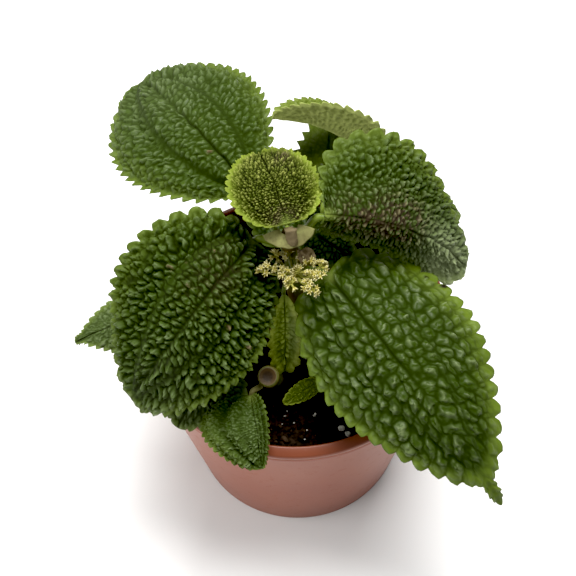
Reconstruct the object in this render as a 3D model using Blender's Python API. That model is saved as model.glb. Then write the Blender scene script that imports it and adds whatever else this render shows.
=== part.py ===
"""Potted moon valley pilea: a bushy plant with quilted, toothed leaves in a round plastic nursery pot.

Metres, +Z up. The origin is on the pot's axis, at the middle of its base. The plant's front faces -Y.
Lengths below are in millimetres until they become mesh points.
"""

import math

import bmesh
import bpy
import numpy as np

MM = 0.001
GAP = 0.35
SEAT = 0.6

# Pot, a turned shell with a rounded lip that rolls inwards
POT_SIDES = 48
BASE_RADIUS = 39.5
RIM_RADIUS = 52.5
RIM_HEIGHT = 82.1
LIP_TOP = 84.4
LIP_WIDTH = 3.4
LIP_DEPTH = 2.6
SHOULDER = 4.0
WALL = 1.6
FLOOR = 2.2
GROOVE = 0.35
DRAIN_HOLES = 6
DRAIN_RADIUS = 4.0
DRAIN_RING = 27.0
DRAIN_SIDES = 12

# Soil
SOIL_TOP = 75.0
SOIL_BUMP = 0.9
SOIL_RINGS = (14.0, 27.0, 39.0)
HOLE_FOOT = 1.0
HOLE_REACH = 12.0
EDGE_DIP = 0.5
SEED = 7

# Edges steeper than this, in degrees, stay crisp
QUILT_EDGE = 9
ROUND_EDGE = 35

# Blades
THICKNESS = 0.9
RIB = 0.5
RIB_END = 0.8
SLIM = 0.6
SLIM_WIDTH = 0.35
TOOTH_LEAN = 0.7
TAIL_HALF_WIDTH = 1.7
TAIL_START = 0.88
FAN = 1.25
SWEEP = 1.15
LATE = 5
PETIOLE_SIDES = 7
PETIOLE_RINGS = 7
NODE_SWELL = 0.12

# Each stem: the line of its axis from the soil up, and its radius at the foot and at the top
STEM_RINGS = 11
STEM_SIDES = 10
STEMS = {
    "main_stem": dict(
        line=[(2, 7, 60), (2, 6, 72), (1, 3, 95), (0, 0, 116), (-1, -4, 133), (-1, -6, 140.5)],
        radius=(3.2, 2.3),
    ),
    "cut_stem": dict(
        line=[(-6, -16, 60), (-7, -19, 72), (-8.5, -25, 86), (-9.2, -30, 96), (-9.4, -31.5, 99)],
        radius=(2.9, 3.0),
    ),
    "back_stem": dict(line=[(12, 20, 60), (13, 22, 72), (16, 27, 92), (18, 31, 106)], radius=(2.6, 2.0)),
    "side_stem": dict(line=[(-14, -4, 60), (-16, -6, 72), (-21, -9, 81), (-26, -11, 86)], radius=(2.3, 1.6)),
}

# Defaults of a leaf: half_width in mm and the share of it that the left and the right half have,
# rise of the midrib's arch as a share of the chord, fold and curl of the left and the right half in
# degrees, what halves and fold gain by the tip, and the outline's shape numbers
LEAF = dict(
    half_width=12.0, halves=(1, 1), widen=(0, 0), rise=0.12, skew=0.0, fold=(-5, -5), unfold=(0, 0),
    curl=(-25, -25), twist=0, egg=0.3, lobe=0.4, blunt=0.95, tail=0.0, rows=12, columns=4, tooth=1.3,
    relief=0.6, petiole=(1.1, 0.8), grows_from="side", tone="leaf",
)

# Each leaf: where its blade starts and ends, the way its face looks, and the stem axis point it grows from
LEAVES = {
    "leaf_front_right": dict(
        base=(10.5, -10.7, 124), tip=(61.3, -72.2, 85.1), face=(0.04, -0.54, 0.91), axil=(0, -0.3, 118),
        half_width=28.6, halves=(1.07, 0.95), rise=0.2, fold=(-17, -21), curl=(-23, -27), egg=0.37,
        lobe=0.66, blunt=1.17, tail=0.11, rows=20, columns=6, tooth=2.6, relief=0.9, petiole=(1.5, 1.2),
    ),
    "leaf_left": dict(
        base=(-11.7, -2.6, 132.8), tip=(-52.7, -36.6, 96.5), face=(0.02, -0.54, 0.94), axil=(-1, -3.9, 132.5),
        half_width=29.4, halves=(0.88, 0.98), rise=0.21, fold=(-22, 2), curl=(-44, -13), twist=29,
        egg=0.19, lobe=0.28, blunt=1.02, rows=18, columns=6, tooth=2.2, relief=0.9, petiole=(1.5, 1.1),
    ),
    "leaf_back_left": dict(
        base=(-13.1, 23.7, 124.2), tip=(-52.2, 83.2, 112), face=(-0.1, -0.18, 0.98), axil=(0, -0.3, 118),
        half_width=28.4, rise=0.13, skew=0.1, fold=(-12, -10), curl=(-17, -15), egg=-0.12, lobe=0,
        blunt=1.04, rows=18, columns=6, tooth=2.2, relief=0.8, petiole=(1.5, 1.1),
    ),
    "leaf_back_right": dict(
        base=(9.8, -3.4, 145.7), tip=(55.9, -0.9, 111.5), face=(0.19, -0.26, 0.95), axil=(-1, -4.9, 136.5),
        half_width=27.4, halves=(1, 0.54), widen=(0, 0.5), rise=0.17, skew=0.35, fold=(1, -78),
        unfold=(0, 46), curl=(2, -40), twist=-9, egg=0.45, lobe=0.36, blunt=0.79, rows=18, columns=5,
        tooth=2.2, relief=0.8, petiole=(1.5, 1.1),
    ),
    "leaf_crown": dict(
        base=(-1.6, -6.6, 146), tip=(-9.5, 26.1, 138), face=(0.06, -0.33, 0.94), axil=(-1, -6, 140.5),
        half_width=13.4, rise=0.18, fold=(3, -2), curl=(-25, -24), twist=-4, egg=0.26, lobe=0.2,
        rows=14, tooth=0.8, relief=0.5, petiole=(1.4, 1.0), grows_from="tip", tone="young",
    ),
    "leaf_lower_front": dict(
        base=(-15, -36, 95), tip=(-12.3, -57.4, 86), face=(0, -0.15, 1), axil=(-9.1, -29.2, 94.4),
        half_width=13.5, halves=(0.3, 1.25), fold=(-20, -4), curl=(-16, -10), lobe=0.3,
        rows=16, tooth=0.9, petiole=(1.0, 0.8),
    ),
    "leaf_under_left": dict(
        base=(-23, -22, 89), tip=(-39, -43, 88.5), face=(0, 0, 1), axil=(-20.4, -8.7, 80),
        half_width=12, rise=0.1, curl=(-14, -14),
    ),
    "leaf_far_left": dict(
        base=(-45, -2, 91), tip=(-74, -9, 87), face=(0, -0.2, 1), axil=(-23.6, -10.1, 83.6),
        half_width=11, egg=0.5, blunt=1.3, tail=0.05, rows=16, tooth=0.9,
    ),
    "leaf_hanging": dict(
        base=(-3.2, -13.3, 118), tip=(-4.0, -22.6, 85.5), face=(0.1, -1, 0.6), axil=(-0.2, -0.9, 120),
        half_width=4.5, egg=-0.15, lobe=0.1, rise=0.05, rows=12, columns=2, tooth=0.9, relief=0.4,
        petiole=(0.8, 0.7), tone="young",
    ),
    "leaf_soil": dict(
        base=(7, -24, 80), tip=(-5, -31, 79), face=(0, -0.4, 1), axil=(9, -19, 64), half_width=3.2,
        rows=8, columns=2, tooth=0.4, relief=0.3, petiole=(0.9, 0.7), grows_from="soil",
    ),
    "leaf_inner": dict(
        base=(5, 8, 122), tip=(20, 1, 114), face=(0, -0.4, 1), axil=(0.3, 0.8, 112), half_width=7.5,
        rows=10, columns=2, tooth=0.8, relief=0.4, petiole=(0.9, 0.7),
    ),
    "leaf_high_back": dict(
        base=(26, 43, 117), tip=(-5, 46, 133), face=(-0.1, 0.2, 1), axil=(17.7, 30.5, 104.5), half_width=14.5,
        fold=(62, 10), curl=(10, -25), lobe=0.5, relief=0.5,
    ),
    "leaf_behind": dict(
        base=(11, 29, 110), tip=(16, 67, 110), face=(0, 0, 1), axil=(16.9, 28.8, 98), half_width=12,
        halves=(1, 0.6), rise=0.08, tooth=3.0, relief=0.5,
    ),
    "leaf_rear_right": dict(
        base=(24, 27, 97), tip=(60, 40, 86), face=(0.2, 0.1, 1), axil=(14.9, 25, 85), half_width=14,
        rise=0.14, rows=10, relief=0.7,
    ),
    "leaf_rear_low": dict(
        base=(0, 20, 98), tip=(-8, 62, 88), face=(0, 0.1, 1), axil=(1.3, 3.9, 88), half_width=13,
        rise=0.14, rows=10, relief=0.7,
    ),
    "dried_stipule": dict(
        base=(2.5, -7.4, 132.8), tip=(6.4, -9.6, 129), face=(0.2, -0.6, 0.8), axil=(-0.6, -2.6, 127.5),
        half_width=2.6, rows=6, columns=2, tooth=0, relief=0, curl=(20, 20), petiole=(0.7, 0.6), tone="dry",
    ),
}

# Stipule sheath below the crown leaf, with a dried flower stub on its front
SHEATH_MIDDLE = (-1.0, -5.35)
SHEATH_FOOT = (2.4, 137.8)
SHEATH_TOP = (5.6, 141.0)
SHEATH_SPREAD = 82.0
SHEATH_FLARE = 0.55
SHEATH_TILT = 2.2
SHEATH_STEPS = 10
SHEATH_WALL = 0.8
STUB = [(0.1, -9.6, 139.2), (0.2, -10.6, 141.2), (0.5, -10.9, 143.8)]
STUB_RADIUS = 1.3

# Flower cluster: a forked green stalk with star florets round a bead at each end
STALK = [(-0.5, -6.2, 126), (-0.3, -9, 127.2), (0, -12, 128)]
STALK_RADIUS = 0.9
TWIG_RADIUS = 0.6
BEAD_RADIUS = 1.15
FLORETS = 4
FLORET_RADIUS = 1.5
FLORET_REACH = 1.1
CLUSTER_ENDS = [
    (-8, -16, 128), (-7, -10.5, 130.5), (-3, -12.5, 131.5), (-2, -18, 127), (2.5, -14.5, 131),
    (7.5, -12.5, 130.5), (3.5, -19, 126.5), (7, -17.5, 127.5), (-5, -14, 129.5),
]

# Each tone: its colour as sRGB levels, and its roughness
MATERIALS = {
    "pot": ((147, 99, 84), 0.42),
    "soil": ((24, 19, 15), 0.95),
    "stem": ((104, 112, 62), 0.6),
    "leaf": ((62, 96, 26), 0.5),
    "young": ((132, 152, 52), 0.5),
    "dry": ((122, 92, 70), 0.8),
    "flower": ((224, 208, 132), 0.6),
}


def linear(level):
    """sRGB 0..255 to linear light."""
    share = level / 255
    return share / 12.92 if share <= 0.04045 else ((share + 0.055) / 1.055) ** 2.4


def material(tone):
    """The Principled material of this tone, made once for each object that wears it."""
    colour, roughness = MATERIALS[tone]
    made = bpy.data.materials.new(tone)
    made.use_nodes = True
    shader = made.node_tree.nodes["Principled BSDF"]
    shader.inputs["Base Color"].default_value = (*[linear(level) for level in colour], 1)
    shader.inputs["Roughness"].default_value = roughness
    shader.inputs["Metallic"].default_value = 0.0
    made.diffuse_color = shader.inputs["Base Color"].default_value
    return made


def unit(v):
    return v / np.linalg.norm(v, axis=-1, keepdims=True)


def add_mesh(name, points, faces, tone):
    """An object from points in millimetres, with its faces turned outwards."""
    mesh = bpy.data.meshes.new(name)
    mesh.from_pydata((np.asarray(points, float) * MM).tolist(), [], [list(map(int, f)) for f in faces])
    mesh.materials.append(material(tone))
    edit = bmesh.new()
    edit.from_mesh(mesh)
    bmesh.ops.recalc_face_normals(edit, faces=edit.faces)
    edit.to_mesh(mesh)
    edit.free()
    made = bpy.data.objects.new(name, mesh)
    bpy.context.scene.collection.objects.link(made)
    return made


def combine(body, others, operation):
    """Joins the other objects to the body, or cuts them from it, in one Boolean on a collection."""
    group = bpy.data.collections.new(body.name + "_group")
    for other in others:
        group.objects.link(other)
    boolean = body.modifiers.new("join", "BOOLEAN")
    boolean.operation = operation
    boolean.operand_type = "COLLECTION"
    boolean.collection = group
    boolean.solver = "EXACT"
    graph = bpy.context.evaluated_depsgraph_get()
    whole = bpy.data.meshes.new_from_object(body.evaluated_get(graph))
    body.modifiers.clear()
    body.data = whole
    for other in others:
        bpy.data.objects.remove(other)
    bpy.data.collections.remove(group)
    return body


def revolve(name, profile, sides, tone, lift=None):
    """A turned body from (radius, height) points that start and end on the axis."""
    turn = np.arange(sides) * 2 * math.pi / sides
    rings = np.array(profile[1:-1], float)
    x = rings[:, :1] * np.cos(turn)
    y = rings[:, :1] * np.sin(turn)
    z = np.repeat(rings[:, 1:], sides, axis=1)
    if lift is not None:
        z = z + lift
    points = np.stack([x, y, z], axis=-1).reshape(-1, 3)
    poles = [(0, 0, profile[0][1]), (0, 0, profile[-1][1])]
    start = len(points)
    faces = []
    for side in range(sides):
        after = (side + 1) % sides
        faces.append((start, side, after))
        for ring in range(len(rings) - 1):
            a = ring * sides
            faces.append((a + side, a + sides + side, a + sides + after, a + after))
        last = (len(rings) - 1) * sides
        faces.append((start + 1, last + after, last + side))
    return add_mesh(name, np.concatenate([points, poles]), faces, tone)


def spline(points, count):
    """Evenly numbered points along a smooth curve through the given ones."""
    knots = np.array(points, float)
    ends = np.concatenate([[2 * knots[0] - knots[1]], knots, [2 * knots[-1] - knots[-2]]])
    where = np.linspace(0, len(knots) - 1, count)
    span = np.minimum(where.astype(int), len(knots) - 2)
    t = (where - span)[:, None]
    a, b, c, d = ends[span], ends[span + 1], ends[span + 2], ends[span + 3]
    return 0.5 * (2 * b + (c - a) * t + (2 * a - 5 * b + 4 * c - d) * t**2 + (3 * b - a - 3 * c + d) * t**3)


def tube(name, line, radii, sides, tone):
    """A closed tube along a line, square to it at both ends."""
    line = np.asarray(line, float)
    tangent = unit(np.gradient(line, axis=0))
    tangent[0] = unit(line[1] - line[0])
    tangent[-1] = unit(line[-1] - line[-2])
    across = unit(np.cross(tangent[0], (0.3, 0.8, 0.52)))
    turn = np.arange(sides) * 2 * math.pi / sides
    rings = []
    for centre, along, radius in zip(line, tangent, radii):
        across = unit(across - along * (across @ along))
        up = np.cross(along, across)
        rings.append(centre + radius * (np.cos(turn)[:, None] * across + np.sin(turn)[:, None] * up))
    faces = [tuple(range(sides))[::-1]]
    for ring in range(len(rings) - 1):
        a = ring * sides
        for side in range(sides):
            after = (side + 1) % sides
            faces.append((a + side, a + after, a + sides + after, a + sides + side))
    last = (len(rings) - 1) * sides
    faces.append(tuple(range(last, last + sides)))
    return add_mesh(name, np.concatenate(rings), faces, tone)


def body_outline(leaf, length, angle):
    """The blade without its tail, from base (angle 0) to tip (angle pi): distance along, and half width."""
    width = leaf["half_width"]
    along = length * (1 - leaf["tail"]) * (1 - np.cos(angle)) / 2
    along = along - leaf["lobe"] * width * np.sin(angle) * np.maximum(np.cos(angle), 0) ** 2
    egg = leaf["egg"]
    out = width * np.maximum(np.sin(angle), 0) ** leaf["blunt"] * (1 + egg * np.cos(angle))
    return along, out / (1 + 0.3 * egg**2)


def outline(leaf, length, share):
    """The margin after a share of the way from base to tip. A drip tip is a narrow tail at the end."""
    if leaf["tail"] <= 0.03:
        return body_outline(leaf, length, math.pi * share)
    search = np.linspace(0.6 * math.pi, math.pi, 4001)
    end = search[np.argmax(body_outline(leaf, length, search)[1] < TAIL_HALF_WIDTH)]
    cut = TAIL_START
    along, out = body_outline(leaf, length, end * np.clip(share / cut, 0, 1))
    neck = body_outline(leaf, length, end)[0]
    t = np.clip((share - cut) / (1 - cut), 0, 1)
    along = along + (length - neck) * t
    return along, np.where(t > 0, TAIL_HALF_WIDTH * np.sqrt(1 - t**3), out)


def midrib(leaf, u):
    """Points on the midrib, an arch over the straight line from the blade's base to its tip."""
    base = np.array(leaf["base"], float)
    chord = np.array(leaf["tip"], float) - base
    size = np.linalg.norm(chord)
    face = np.array(leaf["face"], float)
    face = unit(face - chord * (face @ chord) / size**2)
    inside = np.clip(u, 0, 1)
    arch = 4 * inside * (1 - inside) * (1 - leaf["skew"] * (2 * inside - 1))
    slope = chord + face * leaf["rise"] * size * 4 * (1 + leaf["skew"])
    along = base + chord * inside[..., None] + face * (leaf["rise"] * size * arch)[..., None]
    return along + np.minimum(u, 0)[..., None] * slope, face


def blade_surface(leaf, rows, columns):
    """Points and outward directions of the smooth upper face, rows from base to tip, left margin last."""
    chord = np.linalg.norm(np.array(leaf["tip"], float) - leaf["base"])
    length = chord * (1 + 2.67 * leaf["rise"] ** 2)
    fine = np.linspace(0, 1, 2001)
    x, y = outline(leaf, length, fine)
    run = np.concatenate([[0], np.cumsum(np.hypot(np.diff(x), np.diff(y)))])
    share = np.interp(np.linspace(0, run[-1], rows + 1), run, fine)
    reach, out = outline(leaf, length, share)
    rib = length * share**FAN
    step = np.linspace(-1, 1, 2 * columns + 1)
    flat_x = rib[:, None] + (reach - rib)[:, None] * np.abs(step) ** SWEEP
    u = flat_x / length
    gain = np.clip(u, 0, 1) ** LATE
    right = step < 0
    wide = np.where(right, leaf["halves"][1], leaf["halves"][0])
    flat_y = out[:, None] * step * (wide + np.where(right, leaf["widen"][1], leaf["widen"][0]) * gain)
    small = 1e-3
    middle, face = midrib(leaf, u)
    inside = np.clip(u, 0, 1 - small)
    along = unit(midrib(leaf, inside + small)[0] - midrib(leaf, inside)[0])
    side = unit(np.cross(face, along))
    normal = np.cross(along, side)
    twist = np.radians(leaf["twist"] * u)[..., None]
    side, normal = (
        side * np.cos(twist) + normal * np.sin(twist),
        normal * np.cos(twist) - side * np.sin(twist),
    )
    left = flat_y >= 0
    fold = np.radians(np.where(left, *leaf["fold"]) + np.where(left, *leaf["unfold"]) * gain)
    curl = np.radians(np.where(left, *leaf["curl"])) / leaf["half_width"]
    away = np.abs(flat_y)
    lateral = (np.sin(fold + curl * away) - np.sin(fold)) / curl * np.where(left, 1, -1)
    height = (np.cos(fold) - np.cos(fold + curl * away)) / curl
    points = middle + side * lateral[..., None] + normal * height[..., None]
    out_of = np.cross(np.gradient(points, axis=0), np.gradient(points, axis=1))
    out_of[0] = out_of[1].mean(axis=0)
    out_of[-1] = out_of[-2].mean(axis=0)
    out_of = unit(out_of)
    if (out_of * normal).sum() < 0:
        out_of = -out_of
    return points, out_of, out / leaf["half_width"]


def blade(name, leaf):
    """A closed blade: quilted alike on both faces, toothed, with a rib along its underside."""
    rows, columns = leaf["rows"], leaf["columns"]
    smooth, normal, breadth = blade_surface(leaf, rows, columns)
    row, column = np.meshgrid(np.arange(rows + 1), np.arange(-columns, columns + 1), indexing="ij")
    raised = (row % 2 == 1) & (np.abs(column) % 2 == 1) & (np.abs(column) < columns)
    relief = leaf["relief"] * np.minimum(1, 2 * breadth[:, None]) * raised
    upper = smooth + normal * relief[..., None]
    depth = THICKNESS + RIB * ((column == 0) & (row > 0) & (row < RIB_END * rows))
    slim = np.clip(breadth / SLIM_WIDTH, SLIM, 1)
    lower = upper - normal * (depth * slim[:, None])[..., None]
    across = 2 * columns + 1
    count = (rows - 1) * across
    points = [upper[1:-1].reshape(-1, 3), lower[1:-1].reshape(-1, 3)]
    poles = [upper[0, columns], lower[0, columns], upper[-1, columns], lower[-1, columns]]
    pole = 2 * count
    faces = []
    for face in (0, 1):
        for j in range(across - 1):
            first = face * count + j
            last = face * count + (rows - 2) * across + j
            faces.append((pole + face, first, first + 1)[:: 1 - 2 * face])
            faces.append((pole + 2 + face, last + 1, last)[:: 1 - 2 * face])
            for i in range(rows - 2):
                a = face * count + i * across + j
                b, c, d = a + 1, a + across + 1, a + across
                high = raised[i + 1, j] or raised[i + 2, j + 1]
                split = ((a, c, b), (a, d, c)) if high else ((a, d, b), (b, d, c))
                faces.extend(corners[:: 1 - 2 * face] for corners in split)
    edge = {}
    teeth = []
    for side, j in ((1, across - 1), (-1, 0)):
        loop = [(pole, pole + 1)]
        for i in range(1, rows):
            here = (i - 1) * across + j
            loop.append((here, count + here))
            if leaf["tooth"] and i < rows - 1:
                outward = smooth[i, j] - smooth[i, j - side] + smooth[i + 1, j] - smooth[i + 1, j - side]
                middle = (1 - TOOTH_LEAN) * smooth[i, j] + TOOTH_LEAN * smooth[i + 1, j]
                tip = middle + unit(outward) * leaf["tooth"]
                spot = pole + 4 + 2 * len(teeth)
                teeth.append((tip, tip - normal[i, j] * THICKNESS))
                faces.append((here, spot, here + across)[::side])
                faces.append((count + here, spot + 1, count + here + across)[::-side])
                loop.append((spot, spot + 1))
        loop.append((pole + 2, pole + 3))
        edge[side] = loop
    for side, loop in edge.items():
        for (a, b), (c, d) in zip(loop, loop[1:]):
            faces.append((a, b, c)[::side])
            faces.append((b, d, c)[::side])
    points.append(np.array(poles))
    if teeth:
        points.append(np.array(teeth).reshape(-1, 3))
    return add_mesh(name, np.concatenate(points), faces, leaf["tone"])


def stem_line(stem):
    """Points of a stem's axis, and its radius there, a little thicker at the nodes."""
    line = spline(stem["line"], STEM_RINGS)
    foot, top = stem["radius"]
    swell = 1 + NODE_SWELL * np.maximum(np.cos(np.linspace(0, 5 * math.pi, STEM_RINGS)), 0) ** 4
    swell[:4] = 1
    swell[-1] = 1
    return line, np.linspace(foot, top, STEM_RINGS) * swell


def stem_near(point):
    """The point of the nearest stem's axis, the stem's direction there and its radius."""
    found = []
    for stem in STEMS.values():
        line, radii = stem_line(stem)
        for a, b, radius in zip(line, line[1:], np.maximum(radii[1:], radii[:-1])):
            share = np.clip((point - a) @ (b - a) / ((b - a) @ (b - a)), 0, 1)
            spot = a + (b - a) * share
            found.append((np.linalg.norm(point - spot), tuple(spot), tuple(unit(b - a)), radius))
    _, spot, along, radius = min(found)
    return np.array(spot), np.array(along), radius


def leaf_line(leaf):
    """The petiole's axis: it leaves its stem squarely and runs on under the blade as the start of the rib."""
    base = np.array(leaf["base"], float)
    axil = np.array(leaf["axil"], float)
    if leaf["grows_from"] == "soil":
        start = axil
        first = np.array((0.0, 0.0, 1.0))
    else:
        spot, along, radius = stem_near(axil)
        if leaf["grows_from"] == "tip":
            first = along
            start = spot + first * SEAT
        else:
            away = base - spot
            first = unit(away - along * (away @ along))
            start = spot + first * (radius + SEAT)
    ahead, _ = midrib(leaf, np.array([0.0, 0.05, 0.13]))
    enter = unit(ahead[1] - ahead[0])
    pull = np.linalg.norm(base - start) / 3
    t = np.linspace(0, 1, PETIOLE_RINGS)[:, None]
    curve = (
        start * (1 - t) ** 3
        + 3 * (start + first * pull) * t * (1 - t) ** 2
        + 3 * (base - enter * pull) * t**2 * (1 - t)
        + base * t**3
    )
    under = unit(np.array(leaf["face"], float)) * THICKNESS * 0.6
    curve[-1] = curve[-1] - under
    return np.concatenate([curve, ahead[1:] - under])


def make_leaf(name):
    leaf = ALL_LEAVES[name]
    body = blade(name, leaf)
    line = leaf_line(leaf)
    thick, thin = leaf["petiole"]
    radii = np.concatenate([np.linspace(thick, thin, PETIOLE_RINGS), [thin * 0.75, thin * 0.45]])
    stalk = tube(name + "_stalk", line, radii, PETIOLE_SIDES, leaf["tone"])
    return combine(body, [stalk], "UNION")


def inner_radius(z):
    """Inside of the pot's wall at this height."""
    return BASE_RADIUS + (RIM_RADIUS - BASE_RADIUS) * z / RIM_HEIGHT - WALL


def make_pot():
    neck = RIM_HEIGHT - LIP_DEPTH
    wall_at = BASE_RADIUS + (RIM_RADIUS - BASE_RADIUS) * neck / RIM_HEIGHT
    profile = [
        (0, FLOOR),
        (inner_radius(FLOOR), FLOOR),
        (inner_radius(neck - SHOULDER), neck - SHOULDER),
        (RIM_RADIUS - LIP_WIDTH, neck),
        (RIM_RADIUS - LIP_WIDTH, LIP_TOP - 0.6),
        (RIM_RADIUS - LIP_WIDTH + 0.7, LIP_TOP),
        (RIM_RADIUS - 1.2, RIM_HEIGHT + 0.9),
        (RIM_RADIUS, RIM_HEIGHT),
        (RIM_RADIUS, RIM_HEIGHT - 1.4),
        (wall_at - GROOVE, neck),
        (wall_at - 0.1, neck - 1.0),
        (BASE_RADIUS + 0.3, 1.2),
        (BASE_RADIUS - 0.8, 0),
        (0, 0),
    ]
    pot = revolve("pot", profile, POT_SIDES, "pot")
    cutters = []
    for index in range(DRAIN_HOLES):
        turn = 2 * math.pi * (index + 0.5) / DRAIN_HOLES
        x, y = DRAIN_RING * math.cos(turn), DRAIN_RING * math.sin(turn)
        axis = [(x, y, -FLOOR), (x, y, 2 * FLOOR)]
        cutters.append(tube(f"drain_{index}", axis, [DRAIN_RADIUS] * 2, DRAIN_SIDES, "pot"))
    return combine(pot, cutters, "DIFFERENCE")


def make_soil():
    rng = np.random.default_rng(SEED)
    radii = [*SOIL_RINGS, inner_radius(SOIL_TOP - EDGE_DIP) - GAP]
    profile = [(0, SOIL_TOP)]
    profile += [(radius, SOIL_TOP) for radius in radii]
    profile += [(inner_radius(FLOOR + GAP) - GAP, FLOOR + GAP), (0, FLOOR + GAP)]
    lift = np.zeros((len(profile) - 2, POT_SIDES))
    bumps = rng.normal(0, SOIL_BUMP / 2, (len(radii) - 1, POT_SIDES))
    lift[: len(radii) - 1] = bumps.clip(-SOIL_BUMP, SOIL_BUMP)
    lift[len(radii) - 1] = -EDGE_DIP
    soil = revolve("soil", profile, POT_SIDES, "soil", lift)
    holes = []
    lines = {name: stem_line(stem)[0] for name, stem in STEMS.items()}
    wide = {name: stem["radius"][0] for name, stem in STEMS.items()}
    lines["leaf_soil"] = leaf_line(ALL_LEAVES["leaf_soil"])[:6]
    wide["leaf_soil"] = ALL_LEAVES["leaf_soil"]["petiole"][0]
    for name, line in lines.items():
        foot = line[0] + unit(line[0] - line[1]) * HOLE_FOOT
        path = np.concatenate([[foot], line[line[:, 2] < SOIL_TOP + HOLE_REACH]])
        holes.append(tube(name + "_hole", path, [wide[name] * 1.02 + GAP] * len(path), STEM_SIDES, "soil"))
    return combine(soil, holes, "DIFFERENCE")


def make_stem(name):
    line, radii = stem_line(STEMS[name])
    return tube(name, line, radii, STEM_SIDES, "stem")


def make_sheath():
    """Two stipules grown together: a half funnel that holds the node, with a dried stub on its front."""
    turn = np.radians(np.linspace(-90 - SHEATH_SPREAD, -90 + SHEATH_SPREAD, SHEATH_STEPS + 1))
    t = np.linspace(0, 1, 4)[:, None]
    beside = np.linspace(-1, 1, SHEATH_STEPS + 1)
    flare = 1 + SHEATH_FLARE * beside**2
    radius = SHEATH_FOOT[0] + GAP + (SHEATH_TOP[0] - SHEATH_FOOT[0]) * t**1.3 * flare
    height = SHEATH_FOOT[1] + (SHEATH_TOP[1] - SHEATH_FOOT[1] + SHEATH_TILT * np.maximum(beside, 0) ** 2) * t
    faces = []
    layers = []
    for extra in (0.0, SHEATH_WALL):
        x = SHEATH_MIDDLE[0] + (radius + extra) * np.cos(turn)
        y = SHEATH_MIDDLE[1] + (radius + extra) * np.sin(turn)
        layers.append(np.stack([x, y, height - 0.4 * extra], axis=-1))
    across = SHEATH_STEPS + 1
    count = len(t) * across
    for layer in (0, 1):
        for i in range(len(t) - 1):
            for j in range(across - 1):
                a = layer * count + i * across + j
                quad = (a, a + 1, a + across + 1, a + across)
                faces.append(quad[:: 2 * layer - 1])
    rim = [(0, j) for j in range(across)]
    rim += [(i, across - 1) for i in range(1, len(t))]
    rim += [(len(t) - 1, j) for j in range(across - 2, -1, -1)]
    rim += [(i, 0) for i in range(len(t) - 2, 0, -1)]
    loop = [i * across + j for i, j in rim]
    for a, b in zip(loop, loop[1:] + loop[:1]):
        faces.append((a, b, b + count, a + count))
    points = np.concatenate([layer.reshape(-1, 3) for layer in layers])
    sheath = add_mesh("stipule_sheath", points, faces, "young")
    stub = tube("stub", spline(STUB, 4), [STUB_RADIUS * 0.8, STUB_RADIUS, STUB_RADIUS, STUB_RADIUS], 7, "dry")
    return combine(sheath, [stub], "UNION")


def bead(name, centre):
    """The small knob that a head's florets sit on."""
    ball = bmesh.new()
    bmesh.ops.create_icosphere(ball, subdivisions=1, radius=BEAD_RADIUS)
    points = [tuple(np.array(vertex.co) + centre) for vertex in ball.verts]
    faces = [[vertex.index for vertex in face.verts] for face in ball.faces]
    ball.free()
    return add_mesh(name, points, faces, "flower")


def floret(name, centre, out, turn):
    """A four-pointed star on a stub, facing outwards."""
    out = unit(out)
    across = unit(np.cross(out, (0.2, 0.5, 0.84)))
    up = np.cross(out, across)
    points = [centre - out * FLORET_REACH, centre + out * 0.2]
    for step in range(8):
        angle = turn + step * math.pi / 4
        radius = FLORET_RADIUS if step % 2 == 0 else 0.45 * FLORET_RADIUS
        lift = 0.5 if step % 2 == 0 else 0.0
        points.append(centre + out * lift + radius * (math.cos(angle) * across + math.sin(angle) * up))
    faces = []
    for step in range(8):
        a, b = 2 + step, 2 + (step + 1) % 8
        faces.append((0, b, a))
        faces.append((1, a, b))
    return add_mesh(name, points, faces, "flower")


def make_flowers():
    rng = np.random.default_rng(SEED)
    stalk_line = spline(STALK, 5)
    stalk = tube("flower_cluster", stalk_line, np.linspace(STALK_RADIUS, TWIG_RADIUS * 1.2, 5), 6, "flower")
    parts = []
    for index, end in enumerate(CLUSTER_ENDS):
        end = np.array(end, float)
        root = stalk_line[-1] - (0, 0, 0.2)
        middle = (root + end) / 2 - (0, 0, 0.8)
        parts.append(tube(f"twig_{index}", spline([root, middle, end], 4), [TWIG_RADIUS] * 4, 5, "flower"))
        parts.append(bead(f"bead_{index}", end))
        for number in range(FLORETS):
            up = 1 - 1.15 * (number + 0.5) / FLORETS
            angle = number * 2.39996 + rng.uniform(0, 6.28)
            flat = math.sqrt(1 - up**2)
            out = np.array((flat * math.cos(angle), flat * math.sin(angle), up))
            centre = end + out * (BEAD_RADIUS * 0.75 + FLORET_REACH)
            parts.append(floret(f"floret_{index}_{number}", centre, out, rng.uniform(0, 1.5)))
    return combine(stalk, parts, "UNION")


def main():
    for old in list(bpy.data.objects):
        bpy.data.objects.remove(old)
    make_pot()
    make_soil()
    for name in STEMS:
        make_stem(name)
    for name in ALL_LEAVES:
        make_leaf(name)
    make_sheath()
    make_flowers()
    for made in bpy.data.objects:
        made.data.shade_smooth()
        sharp = QUILT_EDGE if made.name in ALL_LEAVES else ROUND_EDGE
        made.data.set_sharp_from_angle(angle=math.radians(sharp))


ALL_LEAVES = {name: {**LEAF, **own} for name, own in LEAVES.items()}
main()
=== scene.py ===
# %% [markdown]
# # A potted moon valley pilea
#
# The plant has big quilted leaves: between the sunk veins the blade puckers up into
# cones. A nursery pot with a rolled lip holds it in dark potting mix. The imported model
# gives the plain solids in their places, and this lesson dresses each of them in a
# finer surface that follows the same curves.

import itertools
import math
from types import SimpleNamespace

import bpy
import numpy as np
from mathutils import Matrix, Vector


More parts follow.
